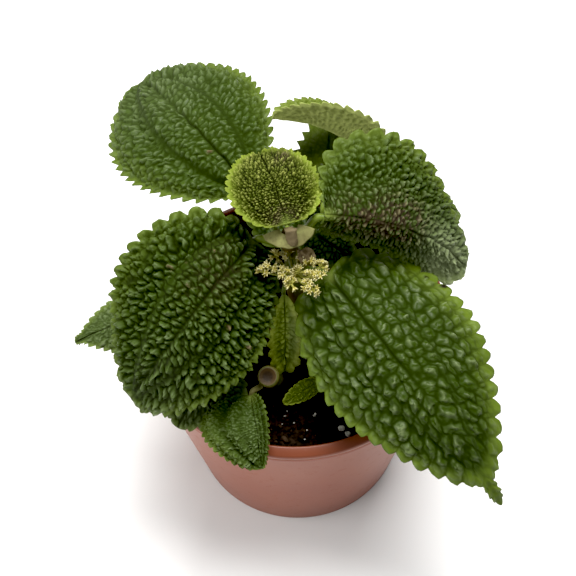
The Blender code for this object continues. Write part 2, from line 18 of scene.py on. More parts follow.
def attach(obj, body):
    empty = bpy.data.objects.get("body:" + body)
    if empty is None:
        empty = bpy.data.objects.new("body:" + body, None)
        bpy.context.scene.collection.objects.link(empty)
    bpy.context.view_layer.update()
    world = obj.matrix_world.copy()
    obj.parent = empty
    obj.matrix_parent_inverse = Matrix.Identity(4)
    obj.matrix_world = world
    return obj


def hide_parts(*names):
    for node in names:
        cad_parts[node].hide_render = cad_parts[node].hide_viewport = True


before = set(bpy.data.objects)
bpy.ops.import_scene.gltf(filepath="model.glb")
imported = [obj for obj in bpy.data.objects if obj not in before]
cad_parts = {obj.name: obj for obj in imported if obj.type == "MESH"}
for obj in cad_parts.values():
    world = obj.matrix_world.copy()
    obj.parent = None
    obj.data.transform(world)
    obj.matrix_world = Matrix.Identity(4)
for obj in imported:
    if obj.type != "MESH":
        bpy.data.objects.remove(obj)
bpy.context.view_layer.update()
MM = 0.001

# %% [markdown]
# ## Small helpers
#
# A shape here is an array of points in millimetres, its faces as arrays of point
# numbers, and named layers of values at the points, which the materials read.


# %% Meshes from arrays
def facing_out(points, faces):
    """The faces, turned round if they hold a volume below 0: the sum of a . (b x c) / 6 over triangles."""
    centred = points - points.mean(axis=0)
    volume = 0.0
    for group in faces:
        for step in range(1, group.shape[1] - 1):
            a, b, c = (centred[group[:, k]] for k in (0, step, step + 1))
            volume += np.einsum("ij,ij->", a, np.cross(b, c)) / 6
    return faces if volume >= 0 else [group[:, ::-1] for group in faces]


def joined(shapes):
    """Several (points, faces, layers) as one. A layer is 0 where a shape lacks it."""
    starts = np.cumsum([0] + [len(points) for points, _, _ in shapes])
    faces = [group + start for start, (_, groups, _) in zip(starts, shapes) for group in groups]
    layers = {
        name: np.concatenate([np.broadcast_to(own.get(name, 0.0), len(points)) for points, _, own in shapes])
        for name in sorted({name for _, _, own in shapes for name in own})
    }
    return np.concatenate([points for points, _, _ in shapes]), faces, layers


def mesh_from(name, points, faces):
    """A smooth-shaded mesh from points in mm and groups of faces, alike in their count of corners."""
    sizes = np.concatenate([np.full(len(group), group.shape[1]) for group in faces])
    corners = np.concatenate([group.ravel() for group in faces])
    mesh = bpy.data.meshes.new(name)
    mesh.vertices.add(len(points))
    mesh.vertices.foreach_set("co", (points * MM).astype(np.float32).ravel())
    mesh.loops.add(len(corners))
    mesh.loops.foreach_set("vertex_index", corners.astype(np.int32))
    mesh.polygons.add(len(sizes))
    mesh.polygons.foreach_set("loop_start", (np.cumsum(sizes) - sizes).astype(np.int32))
    mesh.update(calc_edges=True)
    mesh.validate()
    mesh.shade_smooth()
    return mesh


def placed(name, data):
    """A new object with this data, linked into the scene."""
    thing = bpy.data.objects.new(name, data)
    bpy.context.scene.collection.objects.link(thing)
    return thing


def new_piece(name, shape, material, slot, *nodes):
    """A mesh object from a shape, which rides on the plant's one body and replaces these nodes."""
    points, faces, layers = shape
    mesh = mesh_from(name, points, faces)
    for layer, values in layers.items():
        made = mesh.attributes.new(layer, "FLOAT", "POINT")
        made.data.foreach_set("value", np.asarray(values, np.float32))
    mesh.materials.append(material)
    piece = placed(name, mesh)
    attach(piece, "root")
    if nodes:
        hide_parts(*nodes)
    print(f"{name}: {sum(len(group) * (group.shape[1] - 2) for group in faces)} triangles")
    return piece


# %% Curves and closed grids
ASKEW = (0.3, 0.8, 0.52)


def unit(v):
    """The same directions with a length of 1."""
    return v / np.linalg.norm(v, axis=-1, keepdims=True)


def ease(low, high, x):
    """0 below low, 1 above high, and 3t^2 - 2t^3 between them."""
    t = np.clip((x - low) / (high - low), 0, 1)
    return t * t * (3 - 2 * t)


def full_turn(count):
    """Angles of even steps once round a circle."""
    return np.arange(count) * 2 * math.pi / count


def polar(radius, turn, z):
    """Points about the z axis: x = r cos, y = r sin."""
    return np.stack(np.broadcast_arrays(radius * np.cos(turn), radius * np.sin(turn), z), axis=-1)


def spline(points, count):
    """Catmull-Rom: each span is the cubic whose ends slope like the line between the outer knots."""
    knots = np.array(points, float)
    ends = np.concatenate([[2 * knots[0] - knots[1]], knots, [2 * knots[-1] - knots[-2]]])
    where = np.linspace(0, len(knots) - 1, count)
    span = np.minimum(where.astype(int), len(knots) - 2)
    t = (where - span)[:, None]
    a, b, c, d = ends[span], ends[span + 1], ends[span + 2], ends[span + 3]
    return 0.5 * (2 * b + (c - a) * t + (2 * a - 5 * b + 4 * c - d) * t**2 + (3 * b - a - 3 * c + d) * t**3)


def ring_grid(rows, around):
    """Quads between neighbouring rings of a grid that closes on itself across."""
    i, j = np.meshgrid(np.arange(rows - 1), np.arange(around), indexing="ij")
    a, b = i * around + j, i * around + (j + 1) % around
    return np.stack([a, b, b + around, a + around], axis=-1).reshape(-1, 4)


def capped(rings):
    """A closed skin over rings (rows, around, 3), with a fan to a middle point at each end."""
    rows, around, _ = rings.shape
    points = np.concatenate([rings.reshape(-1, 3), rings[:1].mean(axis=1), rings[-1:].mean(axis=1)])
    j = np.arange(around)
    after = (j + 1) % around
    last = (rows - 1) * around
    foot = np.stack([np.full(around, rows * around), after, j], axis=-1)
    head = np.stack([np.full(around, rows * around + 1), last + j, last + after], axis=-1)
    return points, facing_out(points, [ring_grid(rows, around), foot, head])


def ringed(line, radii, side, up, around, squash=1.0):
    """Circles about the points of a line, each in the plane of its two directions, as one closed skin."""
    turn = full_turn(around)[:, None]
    ring = np.cos(turn) * side[:, None] + squash * np.sin(turn) * up[:, None]
    reach = np.broadcast_to(np.asarray(radii, float), len(line))[:, None, None]
    return capped(line[:, None] + reach * ring)


def tube(line, radii, around, squash=1.0):
    """Circles square to the line. Each starts as near as can be to where the last did, so none spins."""
    line = np.asarray(line, float)
    tangent = unit(np.gradient(line, axis=0))
    across = np.cross(tangent[0], ASKEW)
    sides = []
    for along in tangent:
        across = unit(across - along * (across @ along))
        sides.append(across)
    side = np.array(sides)
    return ringed(line, radii, side, np.cross(tangent, side), around, squash)


# %% Random patterns
NOISE_TABLE = (97, 89)
CELL_TABLE = (83, 79)


def noise(x, y, seed):
    """Random heights on a unit lattice, blended by smooth steps between lattice points, from -1 to 1."""
    table = np.random.default_rng(seed).uniform(-1, 1, NOISE_TABLE)
    i, j = np.floor(x).astype(int), np.floor(y).astype(int)
    u, v = ease(0, 1, x - i), ease(0, 1, y - j)
    tall, wide = NOISE_TABLE
    (a, b), (c, d) = [[table[(i + m) % tall, (j + n) % wide] for n in (0, 1)] for m in (0, 1)]
    return (a * (1 - v) + b * v) * (1 - u) + (c * (1 - v) + d * v) * u


def cobbles(a, b, seed, jitter):
    """A net of cells: a seed point in each lattice square, every second row shifted by half, and a place is
    in its nearest seed's cell. Gives that distance, how much further the next seed is, and two random
    numbers of the cell."""
    draws = np.random.default_rng(seed).random((4, *CELL_TABLE))
    row, column = np.floor(a), np.floor(b)
    best, second = np.full(a.shape, 9.0), np.full(a.shape, 9.0)
    own, other = np.zeros(a.shape), np.zeros(a.shape)
    for di, dj in itertools.product((-1, 0, 1), (-2, -1, 0, 1, 2)):
        i, j = row + di, column + dj
        m, n = i.astype(int) % CELL_TABLE[0], j.astype(int) % CELL_TABLE[1]
        da = i + 0.5 + jitter[0] * (draws[0, m, n] - 0.5) - a
        db = j + 0.5 * (i % 2) + 0.25 + jitter[1] * (draws[1, m, n] - 0.5) - b
        away = np.hypot(da, db)
        nearer = away < best
        second = np.where(nearer, best, np.minimum(second, away))
        own = np.where(nearer, draws[2, m, n], own)
        other = np.where(nearer, draws[3, m, n], other)
        best = np.where(nearer, away, best)
    return best, second - best, own, other


# %% [markdown]
# ## Colours and nodes
#
# Colours are sRGB hex, and one function turns them to the linear light that the shader
# wants. Another adds any node with its settings and its links. A colour is then built
# up as paint is: coats over a first colour, each let through by its own mask.


# %% Colour and node helpers
def linear(code):
    """sRGB hex to linear light: c/12.92 up to 0.04045, else ((c + 0.055) / 1.055) ^ 2.4."""
    levels = [int(code[i : i + 2], 16) / 255 for i in (1, 3, 5)]
    return (*[c / 12.92 if c <= 0.04045 else ((c + 0.055) / 1.055) ** 2.4 for c in levels], 1.0)


def fill(node, **inputs):
    """Links inputs that are another node's output, and sets any other value. i3 is the input at place 3."""
    for key, value in inputs.items():
        socket = node.inputs[int(key[1:]) if key[1:].isdigit() else key.replace("_", " ")]
        if isinstance(value, bpy.types.NodeSocket):
            node.id_data.links.new(value, socket)
        else:
            socket.default_value = value


def add_node(tree, kind, out=0, settings=None, **inputs):
    """Adds a node with its settings and links, and gives the output at that place or of that name."""
    node = tree.nodes.new("ShaderNode" + kind)
    for key, value in (settings or {}).items():
        setattr(node, key, value)
    fill(node, **inputs)
    return node.outputs[out]


def speckle(tree, size_mm, detail=2.0, roughness=0.5, drawn=None):
    """Noise with lumps of about this size in the piece's own coordinates. A drawn below 1 makes them long."""
    place = add_node(tree, "TexCoord", "Object")
    if drawn:
        place = add_node(tree, "Mapping", Vector=place, Scale=(1.0, 1.0, drawn))
    return add_node(tree, "TexNoise", Vector=place, Scale=1000 / size_mm, Detail=detail, Roughness=roughness)


def paint(tree, colour, *coats):
    """Coats over a first colour, each (mask, colour) or (mask, colour, low, high, most). A mask is an output
    or a layer's name, and from low to high it lets 0 to most through. Colours are outputs or hex."""
    for mask, top, *span in coats:
        if isinstance(mask, str):
            mask = add_node(tree, "Attribute", "Fac", {"attribute_name": mask})
        if span:
            low, high, most = span
            mask = add_node(tree, "MapRange", Value=mask, From_Min=low, From_Max=high, To_Max=most)
        under, over = (linear(each) if isinstance(each, str) else each for each in (colour, top))
        colour = add_node(tree, "Mix", 2, {"data_type": "RGBA"}, i0=mask, i6=under, i7=over)
    return colour


def new_material(name):
    """A material with a Principled shader, and its tree."""
    material = bpy.data.materials.new(name)
    material.use_nodes = True
    return material, material.node_tree


def finished(material, bump=None, **inputs):
    """The material with its Principled shader filled in. A bump is (height, strength, depth in mm)."""
    tree = material.node_tree
    if bump:
        height, strength, depth = bump
        inputs["Normal"] = add_node(tree, "Bump", Height=height, Strength=strength, Distance=depth * MM)
    fill(tree.nodes["Principled BSDF"], **inputs)
    return material


# %% [markdown]
# ## Leaf skin
#
# A leaf's colour sits in the flesh under a thin clear cuticle. The cones are green and
# carry a painted soft, milky glint, the valleys are deep green, darkened by painted
# shade, and the margin, where the blade is thin, is yellower. Some leaves have bronze
# patches, a painted pale sheen, brown tips or a scar. Layers of the mesh say where each
# is, so the colour follows the relief exactly.


# %% Leaf material
def leaf_skin(name, crest, flank, hollow, margin, underside):
    """Living leaf: a waxy cuticle over green flesh, IOR 1.45, of middling roughness on the cones, dull in the
    valleys.
    Its grain is drawn at 0.6 mm, coarser than the real hairs, so that it shows."""
    material, tree = new_material(name)
    # Painted glint: a lighter, greyer colour on the cone tops stands in for a soft highlight, on the bronze
    # patches as on the green.
    bronze = paint(tree, "#2b2216", ("crest", "#706948"))
    # Painted shade darkens the sunk net, rib beds, grooves and folds of the blade.
    colour = paint(
        tree, flank, ("margin", margin), ("crest", crest), (speckle(tree, 11, 3), flank, 0.35, 0.65, 0.35),
        ("tone", flank), ("hollow", hollow), ("bronze", bronze), ("wash", "#929c74"), ("rib", "#6f7d38"),
        ("under", underside), ("stalk", "#66762a"), ("blush", "#64563e"), ("scar", "#160c06"),
    )
    grain = speckle(tree, 0.6, 3)
    gloss = add_node(tree, "MapRange", Value=grain, From_Min=0.3, From_Max=0.7, To_Min=0.38, To_Max=0.5)
    sunk = add_node(tree, "Attribute", "Fac", {"attribute_name": "hollow"})
    pit = add_node(tree, "MapRange", Value=sunk, From_Max=0.5)
    rough = add_node(tree, "Mix", i0=pit, i2=gloss, i3=1.0)
    bump = (grain, 0.35, 0.18)
    return finished(material, bump, Base_Color=colour, Roughness=rough, IOR=1.45, Specular_IOR_Level=0.22)


SKINS = {
    "old": leaf_skin("mature_leaf_cuticle", "#606e46", "#314308", "#121a00", "#5b6c24", "#4c5e28"),
    # A lighter copy of the leaf colours: painted light for the leaves that hang low in shade.
    "pale": leaf_skin("lightened_leaf_cuticle_for_shade", "#9aa44a", "#687822", "#3a480c", "#a2ae42", "#848f4c"),
    # Its gloss is painted: lighter, greyer glints over darker flanks, with the same roughness as the other
    # skins.
    "painted_gloss": leaf_skin("painted_gloss_leaf_cuticle", "#76825a", "#2c3d05", "#121c00", "#607322", "#4c5e28"),
    "thin": leaf_skin("thin_leaf_cuticle", "#4a5618", "#3e4c08", "#2e3a04", "#465410", "#66702c"),
    "backlit": leaf_skin("backlit_leaf_cuticle", "#6e7a3c", "#5e6c22", "#3c4810", "#66742e", "#a9b268"),
    "young": leaf_skin("young_leaf_cuticle", "#a2a656", "#4e5c10", "#040700", "#7c8c2c", "#6c7a34"),
}
print("leaf skins:", sorted(SKINS))

# %% [markdown]
# ## Stems and leaves by their sizes
#
# Sizes are in mm and angles in degrees, and a pair is for the halves left and right of
# the midrib, seen from the base. A leaf lies from base to tip and faces its direction,
# and its stalk, with the petiole's radii, starts near its axil. Egg, lobe, blunt, tail,
# halves and widen shape its outline. Rise and skew arch the midrib, and fold, unfold,
# curl and twist bend the halves. Teeth are tooth mm tall, and sharp, bunch and lean form
# them. Fine and across are grid steps. Cones are cone mm wide and relief tall, in rows
# from base to tip, or one row to a tooth with by_teeth, and jitter, ruffle, peak,
# plateau, pucker and star form them. Puff, furrow, side, crease, fade and pleats are
# the swells and grooves, and brim and flare the margin. What follows is colour, with
# painted shade in the valleys and painted glints on the cones, and bronze, painted
# sheen, scars and tips are patches at places on the blade.

# %% Stems and leaves
STEMS = {
    "main_stem": [(2, 7, 60), (2, 6, 72), (1, 3, 95), (0, 0, 116), (-1, -4, 133), (-1, -6, 140.5)],
    "cut_stem": [(-6, -16, 60), (-7, -19, 72), (-8.5, -25, 86), (-9.2, -30, 96), (-9.4, -31.5, 99)],
    "back_stem": [(12, 20, 60), (13, 22, 72), (16, 27, 92), (18, 31, 106)],
    "side_stem": [(-14, -4, 60), (-16, -6, 72), (-21, -9, 81), (-26, -11, 86)],
}
RADII = {"main_stem": (3.2, 2.3), "cut_stem": (2.9, 3.0), "back_stem": (2.6, 2.0), "side_stem": (2.3, 1.6)}
LEAF = dict(
    grows_from="side", petiole=(1.1, 0.8), half_width=12, halves=(1, 1), widen=(0, 0), egg=0.3, lobe=0.4,
    blunt=0.95, tail=0.0, rise=0.12, skew=0.0, fold=(-5, -5), unfold=(0, 0), curl=(-25, -25), twist=0,
    rows=10, teeth=0, tooth=1.3, sharp=0.15, bunch=1.0, lean=0.2, fine=9, across=36, skin="old", cone=2.4,
    by_teeth=False, jitter=(0.5, 0.8), ruffle=0.25, relief=0.8, peak=0.4, plateau=0.85, pucker=0.5,
    star=0.4, puff=0.5, crease=0.8, furrow=0.5, side=0.7, fade=0.0, pleats=(0, 0), brim=1.5, flare=0.3,
    valley=0.4, depth=0.9, lines=0.5, shine=0.5, spark=0.2, fringe=0.0, streak=0.0, tan=0.0, bronze=(),
    wash=(), scars=(), tips=(),
)
LEAVES = {
    "leaf_front_right": dict(
        base=(10.5, -10.7, 124), tip=(61.3, -72.2, 85.1), face=(0.04, -0.54, 0.91), axil=(0, -0.3, 118),
        petiole=(1.5, 1.2), half_width=28.6, halves=(1.07, 0.95), egg=0.37, lobe=0.66, blunt=1.17,
        tail=0.11, rise=0.2, fold=(-17, -21), curl=(-23, -27), rows=19, tooth=(2.9, 2.2), sharp=(0.05, 0.5),
        bunch=1.15, lean=0.15, fine=12, across=72, skin="painted_gloss", cone=3.7, by_teeth=True,
        jitter=(0.35, 0.6), ruffle=0.16, relief=1.2, peak=0.3, plateau=0.9, pucker=0.75, star=0.75,
        puff=0.9, crease=1.0, furrow=0.6, side=1.0, fade=0.7, brim=2.8, flare=0.8, depth=0.7, lines=0.9,
        shine=1.0, spark=0.4, fringe=(0.9, 0.6), scars=((0.281, 0.92, 0.6), (0.331, 0.97, 0.9))),
    "leaf_left": dict(
        base=(-11.7, -2.6, 132.8), tip=(-52.7, -36.6, 96.5), face=(0.02, -0.54, 0.94),
        axil=(-1, -3.9, 132.5), petiole=(1.5, 1.1), half_width=29.4, halves=(0.88, 0.98), egg=0.19,
        lobe=0.28, blunt=1.02, rise=0.21, fold=(-22, 2), curl=(-44, -13), twist=29, rows=17, teeth=(24, 18),
        tooth=(1.9, 2.3), sharp=(0.7, 0.0), fine=13, across=74, cone=3.3, ruffle=0.26, relief=2.4, peak=0.1,
        plateau=0.9, pucker=1.0, star=0.6, puff=1.2, crease=0.9, furrow=1.0, side=1.8, fade=0.3, brim=2.0,
        flare=0.8, valley=0.5, depth=1.0, shine=0.7, fringe=(0.9, 0.7),
        bronze=((0.3, -2.0, 0.25, 7, 0.35),), wash=((0.95, 8.0, 0.4, 12, 0.1),),
        tips=((0.225, -0.32), (0.419, -0.2), (0.338, -0.43), (0.406, -0.5), (0.456, 0.42), (0.463, 0.75))),
    "leaf_back_left": dict(
        base=(-13.1, 23.7, 124.2), tip=(-52.2, 83.2, 112), face=(-0.1, -0.18, 0.98), axil=(0, -0.3, 118),
        petiole=(1.5, 1.1), half_width=28.4, egg=-0.12, lobe=0, blunt=1.04, rise=0.13, skew=0.1,
        fold=(-12, -10), curl=(-17, -15), rows=24, teeth=(22, 24), tooth=1.9, sharp=(0.7, 0.1), lean=0.4,
        across=76, cone=3.1, ruffle=0.3, relief=2.1, peak=0.6, plateau=0.8, pucker=0.6, puff=2.0,
        crease=0.6, furrow=0.9, side=2.2, fade=0.6, brim=2.0, flare=0.9, valley=0.5, depth=0.6, fringe=0.9,
        wash=((0.85, 0.0, 0.35, 30, 0.1),), tips=((0.47, -0.1), (0.27, 0.1))),
    "leaf_back_right": dict(
        base=(9.8, -3.4, 145.7), tip=(55.9, -0.9, 111.5), face=(0.19, -0.26, 0.95), axil=(-1, -4.9, 136.5),
        petiole=(1.5, 1.1), half_width=27.4, halves=(1, 0.54), widen=(0, 0.5), egg=0.45, lobe=0.36,
        blunt=0.79, rise=0.17, skew=0.35, fold=(1, -78), unfold=(0, 46), curl=(2, -40), twist=-9, rows=15,
        teeth=17, tooth=(2.4, 1.8), bunch=0.8, fine=14, across=72, ruffle=0.3, relief=1.8, pucker=0.8,
        puff=0.8, crease=0.4, brim=1.8, flare=0.7, valley=0.5, depth=0.85, fringe=(1.0, 1.5),
        bronze=((0.3, -2.0, 0.24, 7, 1.0), (0.52, 1.0, 0.2, 8, 1.2)), wash=((0.88, -6.0, 0.25, 12, 0.85),)),
    "leaf_crown": dict(
        base=(-1.6, -6.6, 146), tip=(-9.5, 26.1, 138), face=(0.06, -0.33, 0.94), axil=(-1, -6, 140.5),
        grows_from="tip", petiole=(1.1, 0.6), half_width=13.4, egg=0.26, lobe=0.2, rise=0.18, fold=(3, -2),
        curl=(-25, -24), twist=-4, rows=14, teeth=15, tooth=1.1, sharp=0.0, fine=14, across=60,
        skin="young", cone=1.1, ruffle=0.35, relief=1.7, pucker=0.4, star=0.0, puff=0.3, crease=0.3,
        brim=1.2, flare=1.2, valley=0.9, depth=1.0, lines=0.2, shine=0.1, fringe=1.0,
        bronze=((0.12, 0.0, 0.16, 5, 0.8), (0.75, -6.0, 0.15, 4, 0.7))),
    "leaf_lower_front": dict(
        base=(-15, -36, 95), tip=(-12.3, -57.4, 86), face=(0, -0.15, 1), axil=(-9.1, -29.2, 94.4),
        petiole=(1.0, 0.8), half_width=13.5, halves=(0.3, 1.25), lobe=0.3, fold=(-20, -4), curl=(-16, -10),
        rows=16, teeth=19, tooth=1.0, sharp=0.4, fine=10, across=54, cone=1.9, ruffle=0.5, relief=1.0,
        pucker=0.9, star=0.8, puff=0.8, crease=0.05, furrow=0.2, pleats=(2.5, 1.1), brim=0.4, depth=0.6,
        lines=0.2, fringe=1.0, tan=0.7, wash=((0.7, 0.0, 0.6, 20, 0.06),)),
    "leaf_under_left": dict(
        base=(-23, -22, 89), tip=(-39, -43, 88.5), face=(0, 0, 1), axil=(-20.4, -8.7, 80), rise=0.1,
        curl=(-14, -14), rows=12, tooth=1.6, sharp=0.6, relief=0.9, brim=1.4, fringe=1.0,
        wash=((0.6, 0.0, 0.8, 20, 0.3),)),
    "leaf_far_left": dict(
        base=(-45, -2, 91), tip=(-74, -9, 87), face=(0, -0.2, 1), axil=(-23.6, -10.1, 83.6), half_width=11,
        egg=0.5, blunt=1.3, tail=0.05, rows=15, tooth=(1.3, 0.8), sharp=0.6, fine=8, across=40, cone=2.2,
        ruffle=0.45, relief=0.9, star=0.8, crease=0.25, brim=0.7, depth=0.6, fringe=0.9,
        wash=((0.6, 0.0, 0.8, 20, 0.12),)),
    "leaf_hanging": dict(
        base=(-3.2, -13.3, 118), tip=(-4.0, -22.6, 85.5), face=(0.1, -1, 0.6), axil=(-0.2, -0.9, 120),
        petiole=(0.8, 0.7), half_width=4.5, egg=-0.15, lobe=0.1, rise=0.05, rows=9, teeth=8,
        tooth=(2.0, 1.2), sharp=0.0, across=24, skin="pale", relief=1.1, puff=0.6, crease=0.2, flare=1.2,
        depth=0.7, fringe=(1.0, 0.1), wash=((0.5, 3.0, 0.8, 2.5, 0.35),)),
    "leaf_soil": dict(
        base=(7, -24, 80), tip=(-5, -31, 79), face=(0, -0.4, 1), axil=(9, -19, 64), grows_from="soil",
        petiole=(0.9, 0.7), half_width=3.2, rows=8, tooth=0.5, across=24, skin="pale", cone=1.5, ruffle=0.5,
        star=0.9, puff=0.3, crease=0.1, brim=0.3, valley=0.6, depth=0.8),
    "leaf_inner": dict(
        base=(5, 8, 122), tip=(20, 1, 114), face=(0, -0.4, 1), axil=(0.3, 0.8, 112), petiole=(0.9, 0.7),
        half_width=7.5, tooth=0.8, cone=1.7, relief=0.5, streak=0.1),
    "leaf_high_back": dict(
        base=(26, 43, 117), tip=(-5, 46, 133), face=(-0.1, 0.2, 1), axil=(17.7, 30.5, 104.5),
        half_width=14.5, lobe=0.5, fold=(62, 10), curl=(10, -25), rows=14, teeth=18, tooth=1.4, sharp=0.7,
        across=42, skin="backlit", relief=1.2),
    "leaf_behind": dict(
        base=(11, 29, 110), tip=(16, 67, 110), face=(0, 0, 1), axil=(16.9, 28.8, 98), halves=(1, 0.6),
        rise=0.08, rows=12, tooth=3.0, sharp=1.0, skin="thin", cone=2.6, relief=0.3, depth=0.3),
    "leaf_rear_right": dict(
        base=(24, 27, 97), tip=(60, 40, 86), face=(0.2, 0.1, 1), axil=(14.9, 25, 85), half_width=14,
        rise=0.14, fine=8, across=30, cone=2.8, streak=0.1),
    "leaf_rear_low": dict(
        base=(0, 20, 98), tip=(-8, 62, 88), face=(0, 0.1, 1), axil=(1.3, 3.9, 88), half_width=13, rise=0.14,
        fine=8, across=30, cone=2.8, streak=0.1),
}
YOUNG = ("leaf_crown", "leaf_hanging")
print(len(LEAVES), "leaves on", len(STEMS), "stems")

# %% [markdown]
# ## Leaf shape
#
# A blade is a surface of two parameters: one runs from base to tip, the other from
# margin to margin. The flat outline is an egg shape. The midrib arches over the straight
# line from base to tip, and each half folds up or down and curls like a strip of a
# circle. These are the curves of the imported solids, so each leaf lies on its node.

# %% Outline of a blade
TAIL_HALF_WIDTH = 1.7
TAIL_START = 0.88
TAIL_TEETH = 3
SMALL_TAIL = 0.03
NOTCH = 0.45
FIRST_TEETH = 15
LAST_TEETH = 6
ARCH_STRETCH = 2.67
FAN = 1.25
SWEEP = 1.15
LATE = 5
FINE_STEPS = 4001


def body_outline(leaf, length, angle):
    """Half an egg: along = (1 - cos)/2 of the length, less a lobe that bulges back past the base, and
    out = width * sin^blunt * (1 + egg * cos) / (1 + 0.3 egg^2). Angle 0 is the base and pi the tip."""
    width, egg = leaf.half_width, leaf.egg
    along = length * (1 - leaf.tail) * (1 - np.cos(angle)) / 2
    along = along - leaf.lobe * width * np.sin(angle) * np.maximum(np.cos(angle), 0) ** 2
    out = width * np.maximum(np.sin(angle), 0) ** leaf.blunt * (1 + egg * np.cos(angle))
    return along, out / (1 + 0.3 * egg**2)


def outline(leaf, length, share):
    """The margin at a share of the way from base to tip. A drip tip is a narrow tail at the end."""
    if leaf.tail <= SMALL_TAIL:
        return body_outline(leaf, length, math.pi * share)
    search = np.linspace(0.6 * math.pi, math.pi, FINE_STEPS)
    end = search[np.argmax(body_outline(leaf, length, search)[1] < TAIL_HALF_WIDTH)]
    along, out = body_outline(leaf, length, end * np.clip(share / TAIL_START, 0, 1))
    neck = body_outline(leaf, length, end)[0]
    t = np.clip((share - TAIL_START) / (1 - TAIL_START), 0, 1)
    return along + (length - neck) * t, np.where(t > 0, TAIL_HALF_WIDTH * np.sqrt(1 - t**3), out)


def midrib(leaf, u):
    """Base + chord * u + face * rise * chord * 4u(1 - u), with the top of the arch moved by skew. Before
    the base it goes on straight."""
    base = np.array(leaf.base, float)
    chord = np.array(leaf.tip, float) - base
    size = np.linalg.norm(chord)
    face = np.array(leaf.face, float)
    face = unit(face - chord * (face @ chord) / size**2)
    inside = np.clip(u, 0, 1)
    arch = 4 * inside * (1 - inside) * (1 - leaf.skew * (2 * inside - 1))
    slope = chord + face * leaf.rise * size * 4 * (1 + leaf.skew)
    along = base + chord * inside[..., None] + face * (leaf.rise * size * arch)[..., None]
    return along + np.minimum(u, 0)[..., None] * slope, face


# %% Teeth and the bent blade
def by_side(value, t):
    """One value for the whole blade, or a pair: the first is for t of 0 or more, the second for t below."""
    first, second = np.broadcast_to(value, 2)
    return np.where(t < 0, second, first)


def tooth_shape(turns, sharp):
    """Teeth from 0 to 1, from g = fraction^1.3: round ones are (1 - (2g - 1)^2)^0.55, and pointed ones rise
    straight to 1 at g = 0.7 and fall straight back. Sharp blends from the first to the second."""
    g = (turns % 1.0) ** 1.3
    round_one = (1 - (2 * g - 1) ** 2) ** 0.55
    pointed = np.where(g < 0.7, g / 0.7, (1 - g) / 0.3)
    return (1 - sharp) * round_one + sharp * pointed


def flat_blade(leaf, rows, across):
    """The blade before it is bent: mm along and across for each grid point. Rows fan out from the midrib. At
    the margin each point moves out by tooth * (shape - NOTCH), and by lean times that towards the tip.
    Teeth are smaller over the first FIRST_TEETH and the last LAST_TEETH mm of it."""
    chord = np.linalg.norm(np.array(leaf.tip, float) - leaf.base)
    length = chord * (1 + ARCH_STRETCH * leaf.rise**2)
    fine = np.linspace(0, 1, FINE_STEPS)
    x, y = outline(leaf, length, fine)
    run = np.concatenate([[0], np.cumsum(np.hypot(np.diff(x), np.diff(y)))])
    share = np.linspace(0, 1, rows + 1)
    spot = np.interp(share * run[-1], run, fine)
    reach, out = outline(leaf, length, spot)
    ahead, wider = np.gradient(reach), np.gradient(out)
    slant = np.hypot(ahead, wider) + 1e-9
    t = np.linspace(-1, 1, 2 * across + 1)
    teeth = by_side(leaf.teeth or leaf.rows, t) * (share**leaf.bunch)[:, None]
    taper = np.clip(share * run[-1] / FIRST_TEETH, 0.3, 1)
    taper = taper * np.clip((1 - share) * run[-1] / LAST_TEETH, 0.4, 1)
    if leaf.tail > SMALL_TAIL:
        teeth = teeth + TAIL_TEETH * np.clip((share - TAIL_START) / (1 - TAIL_START), 0, 1)[:, None]
        taper = np.clip(out / (0.3 * leaf.half_width), 0.25, 1)
    size = by_side(leaf.tooth, t) * taper[:, None] * ((teeth >= 1) & (teeth <= teeth[-1:] - 1))
    push = size * (tooth_shape(teeth, by_side(leaf.sharp, t)) - NOTCH)
    rib = length * spot**FAN
    edge = np.clip((np.abs(t) - 0.8) / 0.2, 0, 1) ** 1.3
    flat_x = rib[:, None] + (reach - rib)[:, None] * np.abs(t) ** SWEEP
    gain = np.clip(flat_x / length, 0, 1) ** LATE
    flat_y = out[:, None] * t * (by_side(leaf.halves, t) + by_side(leaf.widen, t) * gain)
    forward = leaf.lean * push
    ahead, wider = (ahead / slant)[:, None], (wider / slant)[:, None]
    flat_x = flat_x + (forward * ahead - push * wider) * edge
    flat_y = flat_y + (forward * wider + push * ahead) * edge * np.sign(t)
    return SimpleNamespace(
        x=flat_x, y=flat_y, t=t, share=share, length=length, out=out, run=run[-1], teeth=teeth
    )


def bent_blade(leaf, flat):
    """The flat blade laid on its arched midrib. In each half the strip across leaves the rib at the fold
    angle f and turns by c per mm: sideways (sin(f + cy) - sin f)/c and up (cos f - cos(f + cy))/c."""
    small = 1e-3
    u, y = flat.x / flat.length, flat.y
    middle, face = midrib(leaf, u)
    inside = np.clip(u, 0, 1 - small)
    along = unit(midrib(leaf, inside + small)[0] - midrib(leaf, inside)[0])
    side = unit(np.cross(face, along))
    normal = np.cross(along, side)
    twist = np.radians(leaf.twist * u)[..., None]
    cos, sin = np.cos(twist), np.sin(twist)
    side, normal = side * cos + normal * sin, normal * cos - side * sin
    fold = np.radians(by_side(leaf.fold, y) + by_side(leaf.unfold, y) * np.clip(u, 0, 1) ** LATE)
    curl = np.radians(by_side(leaf.curl, y)) / leaf.half_width
    away = np.abs(y)
    lateral = (np.sin(fold + curl * away) - np.sin(fold)) / curl * by_side((1, -1), y)
    height = (np.cos(fold) - np.cos(fold + curl * away)) / curl
    return middle + side * lateral[..., None] + normal * height[..., None], normal


def looks(points, hint):
    """Directions square to the surface, on the side of the hint: the cross product of the two slopes."""
    out_of = np.cross(np.gradient(points, axis=0), np.gradient(points, axis=1))
    out_of[0] = out_of[1].mean(axis=0)
    out_of[-1] = out_of[-2].mean(axis=0)
    out_of = unit(out_of)
    return out_of if (out_of * hint).sum() > 0 else -out_of


